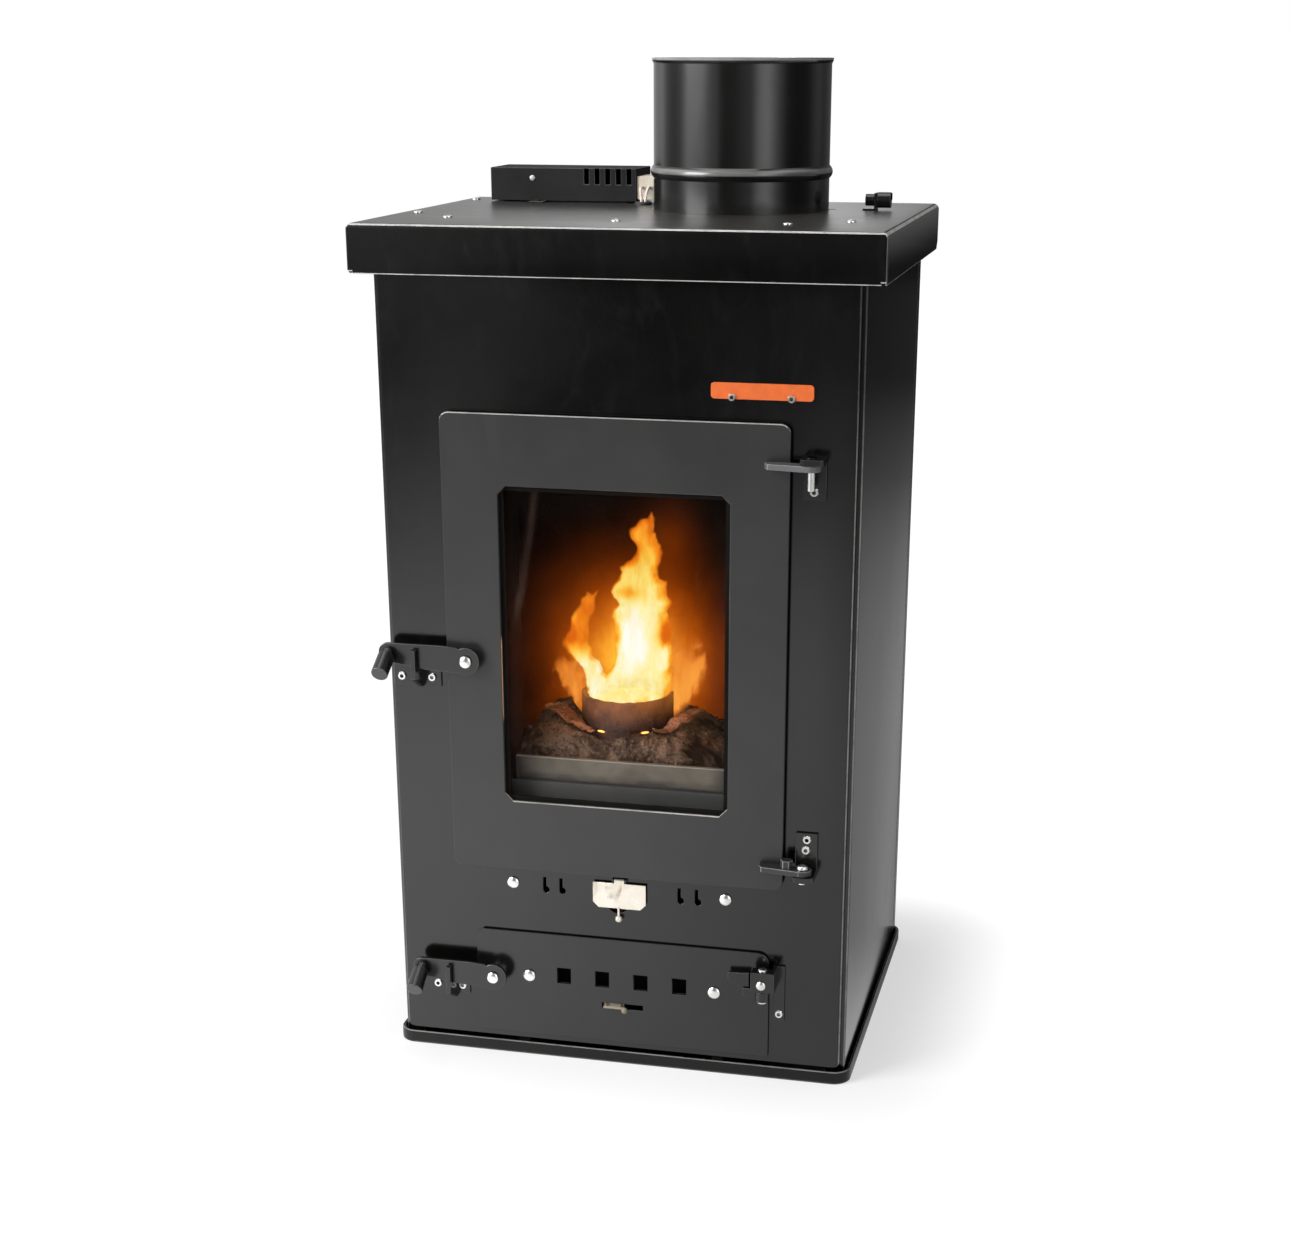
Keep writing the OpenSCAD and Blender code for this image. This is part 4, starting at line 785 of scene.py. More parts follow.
def makeEmberMaterial():
    g, p = newMaterial("embers")
    heat = g.noise(p, 85, 4, 0.6).step(0.3, 0.66)
    fine = g.noise(p, 500, 3, 0.6)
    glow = g.blend(heat, (0.5, 0.07, 0.008), (1.0, 0.5, 0.09))
    colour = g.blend(fine, (0.05, 0.02, 0.012), (0.2, 0.12, 0.08))
    g.surface(colour=colour, Roughness=0.85 + (fine - 0.5) * 0.1, glow=glow, power=3.2,
              Normal=g.bump(fine, 0.0003))


def makeAshMaterial(name, dark, pale, fleck, lit=(0.06, 0.03, 0.014)):
    g, p = newMaterial(name)
    cloud = g.noise(p, 38, 6, 0.65, 0.5)
    fine = g.noise(p, 460, 4, 0.6)
    crumbs = 1.0 - g.cells(p, 330).step(0.06, 0.3)
    x, y, z = g.parts(p)
    colour = g.blend(cloud.step(0.41, 0.59), dark, pale)
    # firelight, strongest next to the pot
    away = ((x - potPlace.x) ** 2.0 + (y - potPlace.y) ** 2.0) ** 0.5
    fall = ((1.0 - away.step(pot["radius"], 0.105)) * (0.35 + cloud.step(0.38, 0.62) * 0.65)
            * fine.step(0.25, 0.6))
    colour = g.blend(crumbs * g.noise(p, 90, 2).step(0.5, 0.6) * 0.5, colour, fleck)
    colour = g.blend((1.0 - fine.step(0.3, 0.55)) * 0.6, colour, (0.014, 0.011, 0.009))
    # painted shade: the bed is darker towards the left
    colour = g.blend((1.0 - x.step(-0.075, -0.02)) * 0.25, colour, (0.02, 0.011, 0.008))
    g.surface(
        colour=colour, Roughness=0.95 - cloud * 0.1, IOR=1.15,
        glow=g.blend(fall, (0, 0, 0), lit), power=1.0,
        Normal=g.bump(fine, 0.0006, 0.9, g.bump(cloud, 0.006, 0.7)))


makeEmberMaterial()
for name, *colours in (
        ("ash", (0.026, 0.016, 0.011), (0.15, 0.095, 0.067), (0.27, 0.2, 0.15)),
        ("paleAsh", (0.08, 0.052, 0.037), (0.19, 0.135, 0.1), (0.3, 0.24, 0.19)),
        ("clinker", (0.12, 0.045, 0.027), (0.27, 0.12, 0.075), (0.42, 0.27, 0.2),
         (0.19, 0.075, 0.026))):
    makeAshMaterial(name, *colours)

ashBed = {
    "left": -0.0945, "right": 0.0945, "front": -0.1495, "back": 0.009, "foot": 0.2316,
    "inner": 0.0416, "rays": 260, "rings": 76,
}


# Value as a share of whole, held between 0 and 1
def share(value, whole):
    return min(1.0, max(0.0, value / whole))


# The bed is highest round the pot, higher at the rear and left, and lower at the front; a gully
# runs along the pot
def ashHeight(x, y):
    reach = math.hypot(x - potPlace.x, y - potPlace.y)
    crown = 0.300 - 0.034 * share(reach - 0.052, 0.055) ** 1.3
    rear = 0.0072 * share(y + 0.09, 0.05)
    left = 0.0119 * share(-x - 0.04, 0.045)
    gully = 0.010 * (1 - share(reach - ashBed["inner"], 0.011))
    front = 0.004 * max(0.0, (-0.128 - y) / 0.02)
    lumps = 0.0055 * roughness(x, y, 0.3, 34, 3) + 0.0015 * roughness(x, y, 1.7, 130, 4)
    return crown + rear + left - gully - front + lumps


def makeAshBed():
    s = ashBed
    form = bmesh.new()
    top, low = [], []
    for i in range(s["rays"]):
        angle = math.tau * i / s["rays"]
        cx, cy = math.cos(angle), math.sin(angle)
        limits = []
        if abs(cx) > 1e-6:
            limits.append(((s["right"] if cx > 0 else s["left"]) - potPlace.x) / cx)
        if abs(cy) > 1e-6:
            limits.append(((s["back"] if cy > 0 else s["front"]) - potPlace.y) / cy)
        outer = min(limits)
        row = []
        for k in range(s["rings"] + 1):
            r = s["inner"] + (outer - s["inner"]) * k / s["rings"]
            x, y = potPlace.x + cx * r, potPlace.y + cy * r
            row.append(form.verts.new((x, y, ashHeight(x, y))))
        top.append(row)
        low.append([form.verts.new((row[j].co.x, row[j].co.y, s["foot"])) for j in (0, -1)])
    for i in range(s["rays"]):
        following = (i + 1) % s["rays"]
        a, b, la, lb = top[i], top[following], low[i], low[following]
        for k in range(s["rings"]):
            form.faces.new((a[k], a[k + 1], b[k + 1], b[k]))
        form.faces.new((a[0], b[0], lb[0], la[0]))
        form.faces.new((a[-1], la[1], lb[1], b[-1]))
        form.faces.new((la[0], lb[0], lb[1], la[1]))
    return addPiece("ashBed", meshOf("ashBed", form), "stove", "ash", "soot_steel")


# Flat crescents of crust that run up from the foot of the pot, in mm
crust = {
    "crustLeft": ((-86, -90), (-74, -105), (-56, -122), (-30, -139)),
    "crustRight": ((22, -131), (38, -112), (47, -88), (52, -62)),
    "steps": 26, "half": 8.0, "thick": 1.9, "lift": 5.2,
}


def makeCrust(name):
    s = crust
    path = [Vector((p.x, p.y, ashHeight(p.x, p.y) + s["lift"] / 1000))
            for p in smoothRoute([Vector((x / 1000, y / 1000, 0)) for x, y in s[name]], s["steps"])]

    def radius(i, angle):
        taper = math.sin(math.pi * (i + 2) / (len(path) + 3)) ** 0.6
        edge = roughness(path[i].x * 30, math.cos(angle), math.sin(angle), 1.9, 3)
        chip = (1 + 0.25 * edge) / 1000
        return s["half"] * taper * chip, s["thick"] * (0.35 + 0.65 * taper) * chip

    addPiece(name, sweep(name, path, radius, 16), "stove", "clinker", "rusted_steel")


# Embers glowing through two gaps at the foot of the pot, by the direction they lie in
emberGaps = {
    "emberGapLeft": 249, "emberGapRight": 305, "height": 0.2985, "long": 0.0036, "thick": 0.0009,
    "out": 0.0004, "stations": ((-1, 0.35), (-0.5, 0.85), (0, 1), (0.5, 0.9), (1, 0.4)),
}


def makeEmberGap(name):
    s = emberGaps
    angle = math.radians(s[name])
    middle = potPlace + Vector((math.cos(angle), math.sin(angle), 0)) * (pot["radius"] + s["out"])
    middle.z = s["height"]
    along = Vector((-math.sin(angle), math.cos(angle), 0))
    path = [middle + along * s["long"] * at for at, size in s["stations"]]
    mesh = sweep(name, path, lambda i, a: (s["thick"] * s["stations"][i][1],) * 2, 10)
    addPiece(name, mesh, "stove", "embers", "rusted_steel")


# Geometry Nodes tree that lays short rods or crumbs on a surface
def scatterTree(name, rods):
    tree = bpy.data.node_groups.new(name, "GeometryNodeTree")
    face = tree.interface
    for label, kind in (("Surface", "Geometry"), ("Spacing", "Float"), ("Density", "Float"),
                        ("Seed", "Int"), ("Radius", "Float"), ("Length", "Float"),
                        ("Least", "Float"), ("Most", "Float"), ("Finish", "Material")):
        face.new_socket(label, in_out="INPUT", socket_type="NodeSocket" + kind)
    face.new_socket("Pieces", in_out="OUTPUT", socket_type="NodeSocketGeometry")
    g = Graph(tree)
    group = tree.nodes.new("NodeGroupInput")
    given = {socket.name: Wire(g, socket) for socket in group.outputs if socket.name}
    points = g.node(
        "GeometryNodeDistributePointsOnFaces", {"distribute_method": "POISSON"},
        {"Mesh": given["Surface"], "Distance Min": given["Spacing"],
         "Density Max": given["Density"], "Seed": given["Seed"]})
    if rods:
        shape = g.node("GeometryNodeMeshCylinder", None, {
            "Vertices": 10, "Side Segments": 1, "Radius": given["Radius"],
            "Depth": given["Length"]})
    else:
        shape = g.node("GeometryNodeMeshIcoSphere", None, {
            "Radius": given["Radius"], "Subdivisions": 2})
    turn = g.node("FunctionNodeRandomValue", {"data_type": "FLOAT_VECTOR"}, {
        0: (0.0, 0.0, 0.0), 1: (math.tau, math.tau, math.tau), "Seed": given["Seed"]})
    # a random value of type FLOAT has its limits at inputs 2 and 3 and its result at output 1
    scale = g.node("FunctionNodeRandomValue", {"data_type": "FLOAT"}, {
        2: given["Least"], 3: given["Most"], "Seed": given["Seed"] + 7}, out=1)
    placed = g.node("GeometryNodeInstanceOnPoints", None, {
        "Points": points, "Instance": shape, "Rotation": turn, "Scale": scale})
    real = g.node("GeometryNodeRealizeInstances", None, {"Geometry": placed})
    smooth = g.node("GeometryNodeSetShadeSmooth", None, {"Geometry": real})
    painted = g.node("GeometryNodeSetMaterial", None, {
        "Geometry": smooth, "Material": given["Finish"]})
    g.output(painted, "NodeGroupOutput")
    return tree


def scatter(name, surface, rods, values, material):
    tree = scatterTree(name + "Tree", rods)
    carrier = newObject(name, surface)
    modifier = carrier.modifiers.new("scatter", "NODES")
    modifier.node_group = tree
    values = {**values, "Finish": finishes[material]}
    for item in tree.interface.items_tree:
        if item.name in values:
            modifier[item.identifier] = values[item.name]
    bare(carrier)
    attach(carrier, "stove")


def domeMesh(name, centre, radius, rise, rings=10, sides=40):
    form = bmesh.new()
    top = form.verts.new(centre + Vector((0, 0, rise)))
    rows, angles = [], [math.tau * k / sides for k in range(sides)]
    for i in range(1, rings + 1):
        t = i / rings
        rows.append([form.verts.new(centre + Vector((
            radius * t * math.cos(a), radius * t * math.sin(a), rise * (1 - t * t))))
            for a in angles])
    for k in range(sides):
        form.faces.new((top, rows[0][k], rows[0][(k + 1) % sides]))
        for a, b in zip(rows, rows[1:]):
            form.faces.new((a[k], b[k], b[(k + 1) % sides], a[(k + 1) % sides]))
    return meshOf(name, form, closed=False)


emberBed = {
    "height": 0.049, "radius": 0.032, "rise": 0.009,
    "scatter": {"Spacing": 0.0034, "Density": 90000.0, "Seed": 11, "Radius": 0.003,
                "Length": 0.012, "Least": 0.8, "Most": 1.15},
}
ashCrumbs = {"Spacing": 0.005, "Density": 4200.0, "Seed": 23, "Radius": 0.0015, "Length": 0.003,
             "Least": 0.35, "Most": 1.5}

makePot()
ashPiece = makeAshBed()
makeCrust("crustLeft")
makeCrust("crustRight")
makeEmberGap("emberGapLeft")
makeEmberGap("emberGapRight")
emberSurface = domeMesh("emberSurface", potPlace + Vector((0, 0, emberBed["height"])),
                        emberBed["radius"], emberBed["rise"])
scatter("emberBed", emberSurface, True, emberBed["scatter"], "embers")
scatter("ashCrumbs", ashPiece.data.copy(), False, ashCrumbs, "paleAsh")
print("stage: pot, ash and embers made")

# Flames: outlines in mm, across and up, as seen on the upright sheet through the middle of the
# pot; the heat of each falls from "heat" by "cooler" between the levels "from" and "to", and
# rises over "edge" inwards
flame = {
    "plane": -95.0, "licksPlane": -88.0, "left": -92, "right": 70, "low": 294, "high": 492,
    "cell": 1.0, "depth": 7.0, "body": {"outline": ((-44, 311), (-45, 328), (-40, 335), (-31, 339),
        (-25, 346), (-22, 354), (-21, 371), (-21, 387), (-25, 392), (-22, 400), (-18, 405),
        (-21, 409), (-25, 416), (-23, 421), (-18, 427), (-16, 434), (-18, 437), (-13, 439),
        (-10, 442), (-6, 444), (-2, 449), (0, 455), (-1, 459), (-5, 463), (-7, 468), (-6, 472),
        (-3, 473), (1, 478), (4, 481), (9, 480), (13, 487), (15, 483), (14, 476), (13, 469),
        (17, 463), (20, 457), (22, 450), (20, 443), (17, 438), (17, 433), (20, 429), (25, 426),
        (25, 420), (26, 413), (29, 408), (26, 400), (28, 393), (31, 384), (30, 374), (31, 363),
        (29, 354), (28, 346), (31, 338), (32, 330), (28, 319), (18, 312), (-16, 309), (-33, 310)),
        "heat": 0.76, "cooler": 0.48, "from": 395, "to": 475, "edge": 6.5},
    "side": {"outline": ((-46, 316), (-50, 338), (-53, 346), (-58, 350), (-66, 360), (-69, 366),
        (-67, 374), (-63, 378), (-61, 384), (-61, 390), (-56, 398), (-53, 402), (-52, 408),
        (-48, 410), (-47, 414), (-43, 410), (-38, 415), (-41, 407), (-41, 401), (-44, 393),
        (-46, 385), (-47, 376), (-48, 367), (-43, 362), (-42, 355), (-37, 348), (-34, 341),
        (-28, 337), (-26, 320)), "heat": 0.82, "cooler": 0.7, "from": 345, "to": 374, "edge": 4.5},
    "licks": ({"outline": ((-52, 298), (-59, 305), (-65, 316), (-71, 322), (-77, 330), (-78, 340),
        (-75, 347), (-71, 352), (-65, 352), (-59, 350), (-54, 346), (-47, 336), (-42, 326),
        (-44, 314), (-49, 304)), "heat": 0.9, "cooler": 0.55, "from": 305, "to": 352, "edge": 7.0},
        {"outline": ((26, 302), (22, 309), (24, 325), (24, 340), (25, 352), (29, 364), (31, 374),
        (34, 379), (36, 372), (39, 367), (43, 364), (46, 366), (50, 376), (52, 368), (51, 361),
        (56, 363), (60, 357), (61, 350), (58, 341), (55, 334), (50, 326), (45, 316), (40, 308),
        (33, 304)), "heat": 0.95, "cooler": 0.5, "from": 325, "to": 375, "edge": 7.0}),
    # cooler hollows and the white-hot core: middle, half sizes and what they add
    "spots": (((-9, 415), (12, 6), -0.42), ((24, 379), (7, 10), -0.52), ((-15, 393), (7, 5), -0.15),
        ((-61, 377), (4, 8), -0.5), ((-6, 372), (12, 27), 0.34), ((2, 322), (5, 9), -0.12),
        ((-24, 322), (4, 8), -0.1), ((17, 324), (4, 9), -0.1), ((-36, 345), (3, 7), 0.2)),
    # the foot leans forward to the rim of the pot, inside its round mouth
    "lean": 30.0, "leanLow": 313.0, "leanReach": 46.0, "mouth": 36.0,
}


# Distance in mm to an outline, positive inside it
def insideDistance(points, outline):
    px, py = points[:, 0], points[:, 1]
    nearest = np.full(len(points), 1e9)
    inside = np.zeros(len(points), bool)
    for (ax, ay), (bx, by) in zip(outline, outline[1:] + outline[:1]):
        dx, dy = bx - ax, by - ay
        t = np.clip(((px - ax) * dx + (py - ay) * dy) / (dx * dx + dy * dy), 0, 1)
        nearest = np.minimum(nearest, np.hypot(px - ax - t * dx, py - ay - t * dy))
        if by != ay:
            inside ^= ((ay > py) != (by > py)) & (px < ax + (py - ay) * dx / dy)
    return np.where(inside, nearest, -nearest)


def smoothly(t):
    t = np.clip(t, 0, 1)
    return t * t * (3 - 2 * t)


# Smooth noise over the sheet, which moves the outline and varies the heat
def wander(points, across, up, depth, rough, octaves):
    return np.array([noise.fractal(Vector((x * across, z * up, depth)), rough, 2.1, octaves)
                     for x, z in points])


# A thin closed sheet of flame, with its heat and cover on the vertices; sway is how far it
# bends forward and back, soft the width of its border, wild how ragged the outline is
def makeFlameSheet(name, plane, groups, material, sway, soft, wild=1.0):
    s = flame
    across = np.arange(s["left"], s["right"] + s["cell"], s["cell"])
    up = np.arange(s["low"], s["high"] + s["cell"], s["cell"])
    xs, zs = np.meshgrid(across, up, indexing="ij")
    points = np.stack([xs.ravel(), zs.ravel()], 1)
    wide = wander(points, 0.045, 0.022, plane * 0.1, 0.8, 4)
    wisp = wander(points, 0.11, 0.045, 9.1, 0.8, 3)
    flick = wander(points, 0.21, 0.11, 4.7, 0.9, 3)
    moved = points + wild * (np.outer(wide, (2.0, 0.0)) + np.outer(wisp, (0.9, 1.4))
                             + np.outer(flick, (1.5, 0.8)))
    cover, heat = np.zeros(xs.shape), np.zeros(xs.shape)
    edgeVariation = np.clip(1 + 1.6 * wide, 0.35, 1.9).reshape(xs.shape)
    for tongue in groups:
        inner = insideDistance(moved, tongue["outline"]).reshape(xs.shape)
        cooled = smoothly((zs - tongue["from"]) / (tongue["to"] - tongue["from"]))
        level = tongue["heat"] - tongue["cooler"] * cooled
        cover = np.maximum(cover, smoothly((inner + 0.33 * soft) / soft))
        edge = tongue["edge"] * edgeVariation
        heat = np.maximum(heat, level * (0.18 + 0.82 * smoothly(inner / edge)))
    for (cx, cz), (rx, rz), more in s["spots"]:
        heat = heat + more * np.exp(-((xs - cx) / rx) ** 2 - ((zs - cz) / rz) ** 2)
    heat = np.clip(heat + 0.1 * wisp.reshape(xs.shape), 0, 1)
    thick = s["depth"] * np.sqrt(cover) * 0.5 + 0.1
    room = np.sqrt(np.maximum(0, s["mouth"] ** 2 - (xs - potPlace.x * 1000) ** 2)) - thick
    forward = (np.clip(room, 0, s["lean"])
               * (1 - smoothly((zs - s["leanLow"]) / s["leanReach"])))
    eye = Vector(camera["place"]) * 1000
    form = bmesh.new()
    for layer in ("flameHeat", "flameCover"):
        form.verts.layers.float.new(layer)
    heatLayer, coverLayer = (form.verts.layers.float[n] for n in ("flameHeat", "flameCover"))
    made = {}

    def vertex(i, k, side):
        key = (i, k, side)
        if key not in made:
            shift = sway * noise.noise(Vector((xs[i, k] * 0.02, zs[i, k] * 0.014, 3.3)))
            place = Vector((xs[i, k], plane, zs[i, k]))
            nearer = min(forward[i, k] + shift, room[i, k])
            place += (eye - place) * float(nearer / (place.y - eye.y))
            place.y += side * thick[i, k]
            made[key] = form.verts.new(place / 1000)
            made[key][heatLayer] = heat[i, k]
            made[key][coverLayer] = cover[i, k]
        return made[key]

    shown = cover > 0.004
    cells = np.zeros(xs.shape, bool)
    cells[:-1, :-1] = shown[:-1, :-1] | shown[1:, :-1] | shown[:-1, 1:] | shown[1:, 1:]
    for i, k in zip(*np.nonzero(cells)):
        corners = ((i, k), (i + 1, k), (i + 1, k + 1), (i, k + 1))
        form.faces.new([vertex(a, b, -1) for a, b in corners])
        form.faces.new([vertex(a, b, 1) for a, b in reversed(corners)])
        for (di, dk), (a, b) in (((0, -1), (0, 1)), ((1, 0), (1, 2)), ((0, 1), (2, 3)),
                                 ((-1, 0), (3, 0))):
            ni, nk = i + di, k + dk
            if not (0 <= ni < xs.shape[0] and 0 <= nk < xs.shape[1] and cells[ni, nk]):
                p, q = corners[a], corners[b]
                form.faces.new((vertex(*q, -1), vertex(*p, -1), vertex(*p, 1), vertex(*q, 1)))
    addPiece(name, meshOf(name, form), "stove", material, "glass")


def makeFlameMaterial(name, stops, strength, most, streaks):
    g, p = newMaterial(name)
    streak = g.noise(g.stretch(p, (1, 1, 0.3)), 95, 4, 0.6, 0.5) - 0.5
    colour = g.ramp((g.attribute("flameHeat") + streak * 0.5).held(), stops)
    thin = (g.attribute("flameCover") * (0.82 + streak * streaks)).held() * most
    clear = g.node("ShaderNodeBsdfTransparent")
    g.output(g.mixed(thin, clear, g.emission(colour, strength)))


makeFlameMaterial("flameHot", (
    (0.0, (0.7, 0.12, 0.004)), (0.2, (0.96, 0.29, 0.013)), (0.4, (0.96, 0.52, 0.05)),
    (0.6, (0.97, 0.73, 0.17)), (0.8, (0.98, 0.88, 0.42)), (1.0, (1.0, 0.98, 0.88))),
    strength=1.06, most=0.96, streaks=0.9)
makeFlameMaterial("flameDim", (
    (0.0, (0.62, 0.15, 0.012)), (0.5, (0.85, 0.25, 0.028)), (1.0, (1.0, 0.38, 0.055))),
    strength=1.0, most=0.9, streaks=2.2)
makeFlameSheet("flameBody", flame["plane"], (flame["body"], flame["side"]), "flameHot",
               sway=6.0, soft=3.4)
makeFlameSheet("flameLicks", flame["licksPlane"], flame["licks"], "flameDim",
               sway=4.0, soft=8.5, wild=2.4)
print("stage: flames made")

# Rope seal and leads, in mm
ropeSeal = {
    "half": (132, 184), "middle": 381, "corner": 5, "plane": -177.05, "wide": 3.95, "thick": 1.9,
    "step": 1.5, "lay": 5.2, "strands": 3, "sides": 18,
}


def makeRope():
    s = ropeSeal
    ring = []
    for turn, (sx, sz) in enumerate(((1, 1), (-1, 1), (-1, -1), (1, -1))):
        cx, cz = sx * (s["half"][0] - s["corner"]), sz * (s["half"][1] - s["corner"])
        for k in range(5):
            a = math.radians(90 * turn + 22.5 * k)
            ring.append(Vector((cx + s["corner"] * math.cos(a), 0, cz + s["corner"] * math.sin(a))))
    path = []
    for a, b in zip(ring, ring[1:] + ring[:1]):
        count = max(1, round((b - a).length / s["step"]))
        path += [a.lerp(b, k / count) for k in range(count)]
    path = [(p + Vector((0, s["plane"], s["middle"]))) / 1000 for p in path]

    # strands that wind both ways round the rope
    def radius(i, angle):
        turn, lay = s["strands"] * angle * 0.5, i * s["step"] / s["lay"] * math.pi * 0.5
        swell = 0.86 + 0.14 * max(abs(math.sin(turn + lay)), abs(math.sin(turn - lay)))
        return s["wide"] * swell / 1000, s["thick"] * swell / 1000

    # the sweep's first direction lies across the path in the plane of the door
    mesh = sweep("ropeSeal", path, radius, s["sides"], True, Vector((0, 1, 0)))
    addPiece("ropeSeal", mesh, "door", "graphiteRope", "rope", "rope_gasket")


leads = {
    "leadA": ((-43, 99.9, 744), (-43, 95, 743.5), (-42, 90, 740.5), (-40.3, 86, 736),
              (-39.8, 84.3, 730), (-39.8, 85, 720), (-41, 100, 714), (-40, 130, 713),
              (-20, 144, 712), (40, 146, 708), (84, 144, 690), (92, 142, 640), (91, 140, 600),
              (84, 138, 560), (74, 133, 532), (70, 124.2, 520)),
    "leadB": ((-36, 99.9, 744), (-36, 95, 743.5), (-36.1, 90, 740.5), (-36.2, 86, 736),
              (-36.2, 84.3, 730), (-36.2, 85, 720), (-37, 100, 717), (-36, 134, 717),
              (-18, 149, 716), (42, 150.5, 712), (88, 149, 694), (97, 147, 640), (97, 146, 600),
              (86, 143, 556), (70, 139, 524), (62, 124.2, 512)),
    "radius": 0.00128, "steps": 8, "sides": 12,
}


def makeLead(name):
    path = smoothRoute([Vector(p) / 1000 for p in leads[name]], leads["steps"])
    mesh = sweep(name, path, lambda i, angle: (leads["radius"],) * 2, leads["sides"])
    addPiece(name, mesh, "stove", "leadSleeve", "lead_sleeve", "motor_leads")


makeRope()
makeLead("leadA")
makeLead("leadB")
print("stage: rope and leads made")

# Floor, world and lights
studio = {
    "floorRadius": 7.0, "white": 1.08,
    # shadow on the floor: where it starts to fade and ends, from the foot of the stove, and its
    # least lift
    "nearLift": 0.5, "foot": (0.2, 0.17), "nearEdge": (0.02, 0.17),
    # light that glossy faces see in the floor, by distance over its radius
    "mirror": ((0.0, 1.3), (0.15, 1.3), (0.22, 1.15), (0.3, 0.85), (0.4, 0.4), (0.6, 0.1)),
    "rear": 0.28, "left": 1.58, "right": 0.8, "sideFrom": -0.38, "sideTo": 0.2,
    "lobe": {"near": (0.6, 0.8), "far": (3.2, 3.8), "slope": 0.6, "level": 1.12},
    # radiance of the room for glossy rays: behind, low and high, and where its lower border lies
    "sky": (0.95, 0.35), "border": (-0.085, -0.045), "skyLeft": 0.64, "skyRight": 1.9,
    # to the right the room behind is dark
    "skyDark": (-0.21, -0.05, 0.92), "ambient": 0.4,
    # the room in front, by the sideways part of the direction: two soft boxes and dark between them
    "front": ((-1.0, 0.4), (-0.97, 0.7), (-0.9, 2.7), (-0.76, 2.0), (-0.6, 1.5), (-0.42, 0.9),
        (-0.22, 0.16), (0.0, 0.13), (0.2, 0.4), (0.4, 0.6), (0.56, 2.6), (0.7, 3.3), (0.85, 1.0),
        (0.95, 0.1), (1.0, 0.05)),
    # far and low in front it is darkest: what is left there, by how far a direction leans sideways
    "gap": ((0.0, 1.5), (0.1, 0.8), (0.16, 0.2), (0.22, 0.02), (0.28, 0.03), (0.33, 0.3),
        (0.36, 0.8), (0.39, 2.6), (0.42, 1.6), (0.46, 1.0)), "gapFar": (0.26, 0.5),
    "gapLow": (-0.05, -0.015),
}


def grey(level):
    return (level,) * 3


# Levels by position, as a factor that may be over 1
def levelRamp(g, position, levels):
    most = max(level for at, level in levels)
    ramp = g.ramp(position, [(at, grey(level / most)) for at, level in levels])
    return g.product(ramp, grey(most))


def darkGap(g, x, y):
    return levelRamp(g, x / y.least(-0.01), studio["gap"])


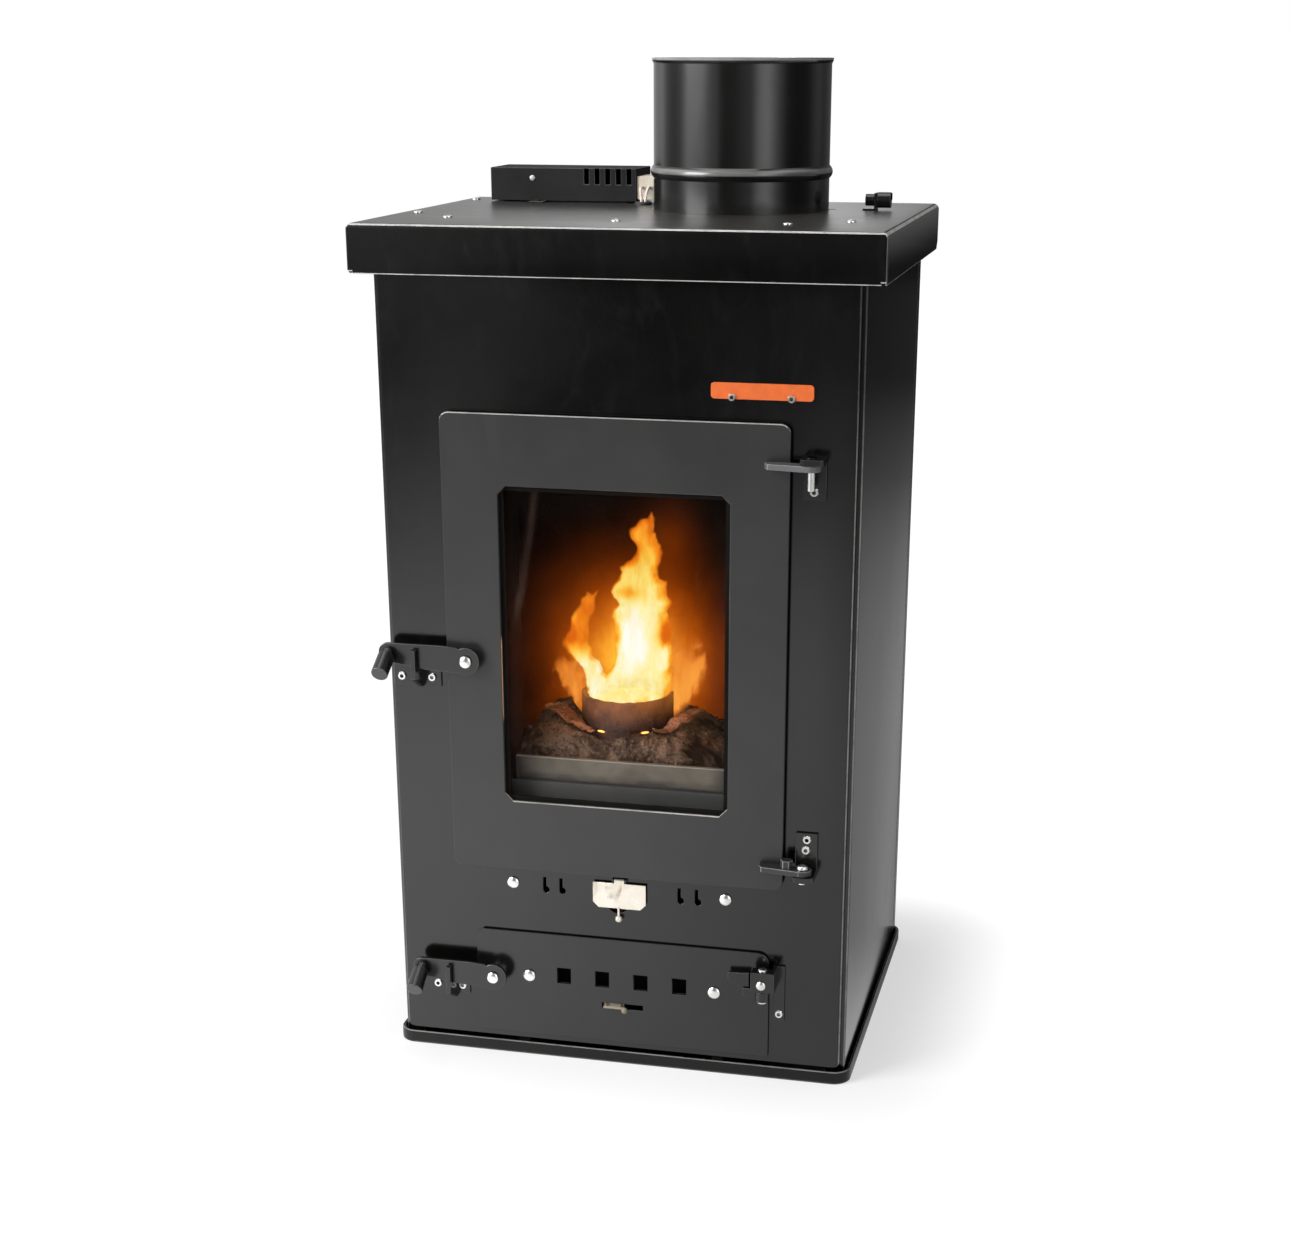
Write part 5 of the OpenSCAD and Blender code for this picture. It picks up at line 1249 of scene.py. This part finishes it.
def makeFloor():
    form = bmesh.new()
    bmesh.ops.create_circle(form, cap_ends=True, segments=96, radius=studio["floorRadius"])
    floor = newObject("floor", meshOf("floor", form, closed=False))
    g, p = newMaterial("studioFloor")
    x, y, z = g.parts(p)
    far = (x * x + y * y) ** 0.5 / studio["floorRadius"]
    most = studio["mirror"][0][1]
    ramp = g.ramp(far, [(at, grey(level / most)) for at, level in studio["mirror"]])
    side = g.blend(x.step(studio["sideFrom"], studio["sideTo"]), grey(studio["left"]),
                   grey(studio["right"]))
    ramp = g.product(ramp, g.blend(y.step(-0.25, 0.2), side, grey(studio["rear"])))
    inFront = far.step(*studio["gapFar"]) * (1.0 - y.step(-1.0, -0.5))
    ramp = g.blend(inFront, ramp, g.product(ramp, darkGap(g, x, y)))
    lobe = studio["lobe"]
    beam = (x.step(*lobe["near"]) * (1.0 - x.step(*lobe["far"]))
            * (1.0 - (y.size() - x * lobe["slope"]).step(-0.15, 0.15)))
    ramp = g.blend(beam, ramp, grey(lobe["level"] / most))
    seen, glossy, through = g.rays()
    diffuse = g.node("ShaderNodeBsdfDiffuse", None, {
        "Color": g.blend(g.noise(p, 3, 2), grey(0.8), grey(0.82))})
    white = g.emission((1, 1, 1), studio["white"])
    outX, outY = ((v.size() - half).most(0.0) for v, half in zip((x, y), studio["foot"]))
    out = ((outX * outX + outY * outY) ** 0.5).step(*studio["nearEdge"])
    lift = studio["nearLift"] + out * (1.0 - studio["nearLift"])
    shown = g.mixed((seen + through).held() * lift, diffuse, white)
    g.output(g.mixed(glossy, shown, g.emission(ramp, most)))
    paint(floor.data, "studioFloor")


def makeWorld():
    world = bpy.data.worlds.new("studio")
    scene.world = world
    world.use_nodes = True
    g = Graph(world.node_tree)
    seen, glossy, through = g.rays()
    # the direction of the ray
    x, y, z = g.parts(g.node("ShaderNodeTexCoord", out=0))
    front = levelRamp(g, (x + 1.0) * 0.5, [((at + 1) / 2, level) for at, level in studio["front"]])
    front = g.blend(z.step(*studio["gapLow"]), g.product(front, darkGap(g, x, y)), front)
    low, high = studio["sky"]
    across = g.blend(x.step(-0.33, -0.17), grey(studio["skyLeft"]), grey(studio["skyRight"]))
    behind = g.product(g.blend(z.step(0.25, 0.9), grey(low), grey(high)), across)
    start, end, most = studio["skyDark"]
    behind = g.blend(x.step(start, end) * most, behind, grey(0))
    sky = g.blend(y.step(-0.2, 0.8), front, behind)
    mirror = g.blend(z.step(*studio["border"]), grey(0.01), sky)
    plain = g.blend((seen + through).held(), grey(studio["ambient"]), grey(1.0))
    g.output(g.node("ShaderNodeBackground", None, {
        "Color": g.blend(glossy, plain, mirror), "Strength": 1.0}), "ShaderNodeOutputWorld")


# An area light is a square of this size, a point light a ball of this radius
def addLight(name, kind, place, target, energy, size, colour=(1, 1, 1)):
    data = setAll(bpy.data.lights.new(name, kind), {"energy": energy, "color": colour})
    square = {"shape": "SQUARE", "size": size}
    setAll(data, square if kind == "AREA" else {"shadow_soft_size": size})
    lamp = newObject(name, data)
    lamp.location = place
    lamp.rotation_euler = (Vector(target) - Vector(place)).to_track_quat("-Z", "Y").to_euler()


makeFloor()
makeWorld()
addLight("key", "AREA", (-2.0, -1.7, 1.6), (0, 0, 0.3), 95, 1.5)
addLight("overhead", "AREA", (-0.3, -0.1, 2.7), (0, 0, 0.4), 26, 1.6)
addLight("fireLight", "POINT", (-0.01, -0.12, 0.40), (0, 0, 0), 0.32, 0.02, (1.0, 0.46, 0.15))
print("stage: studio made")
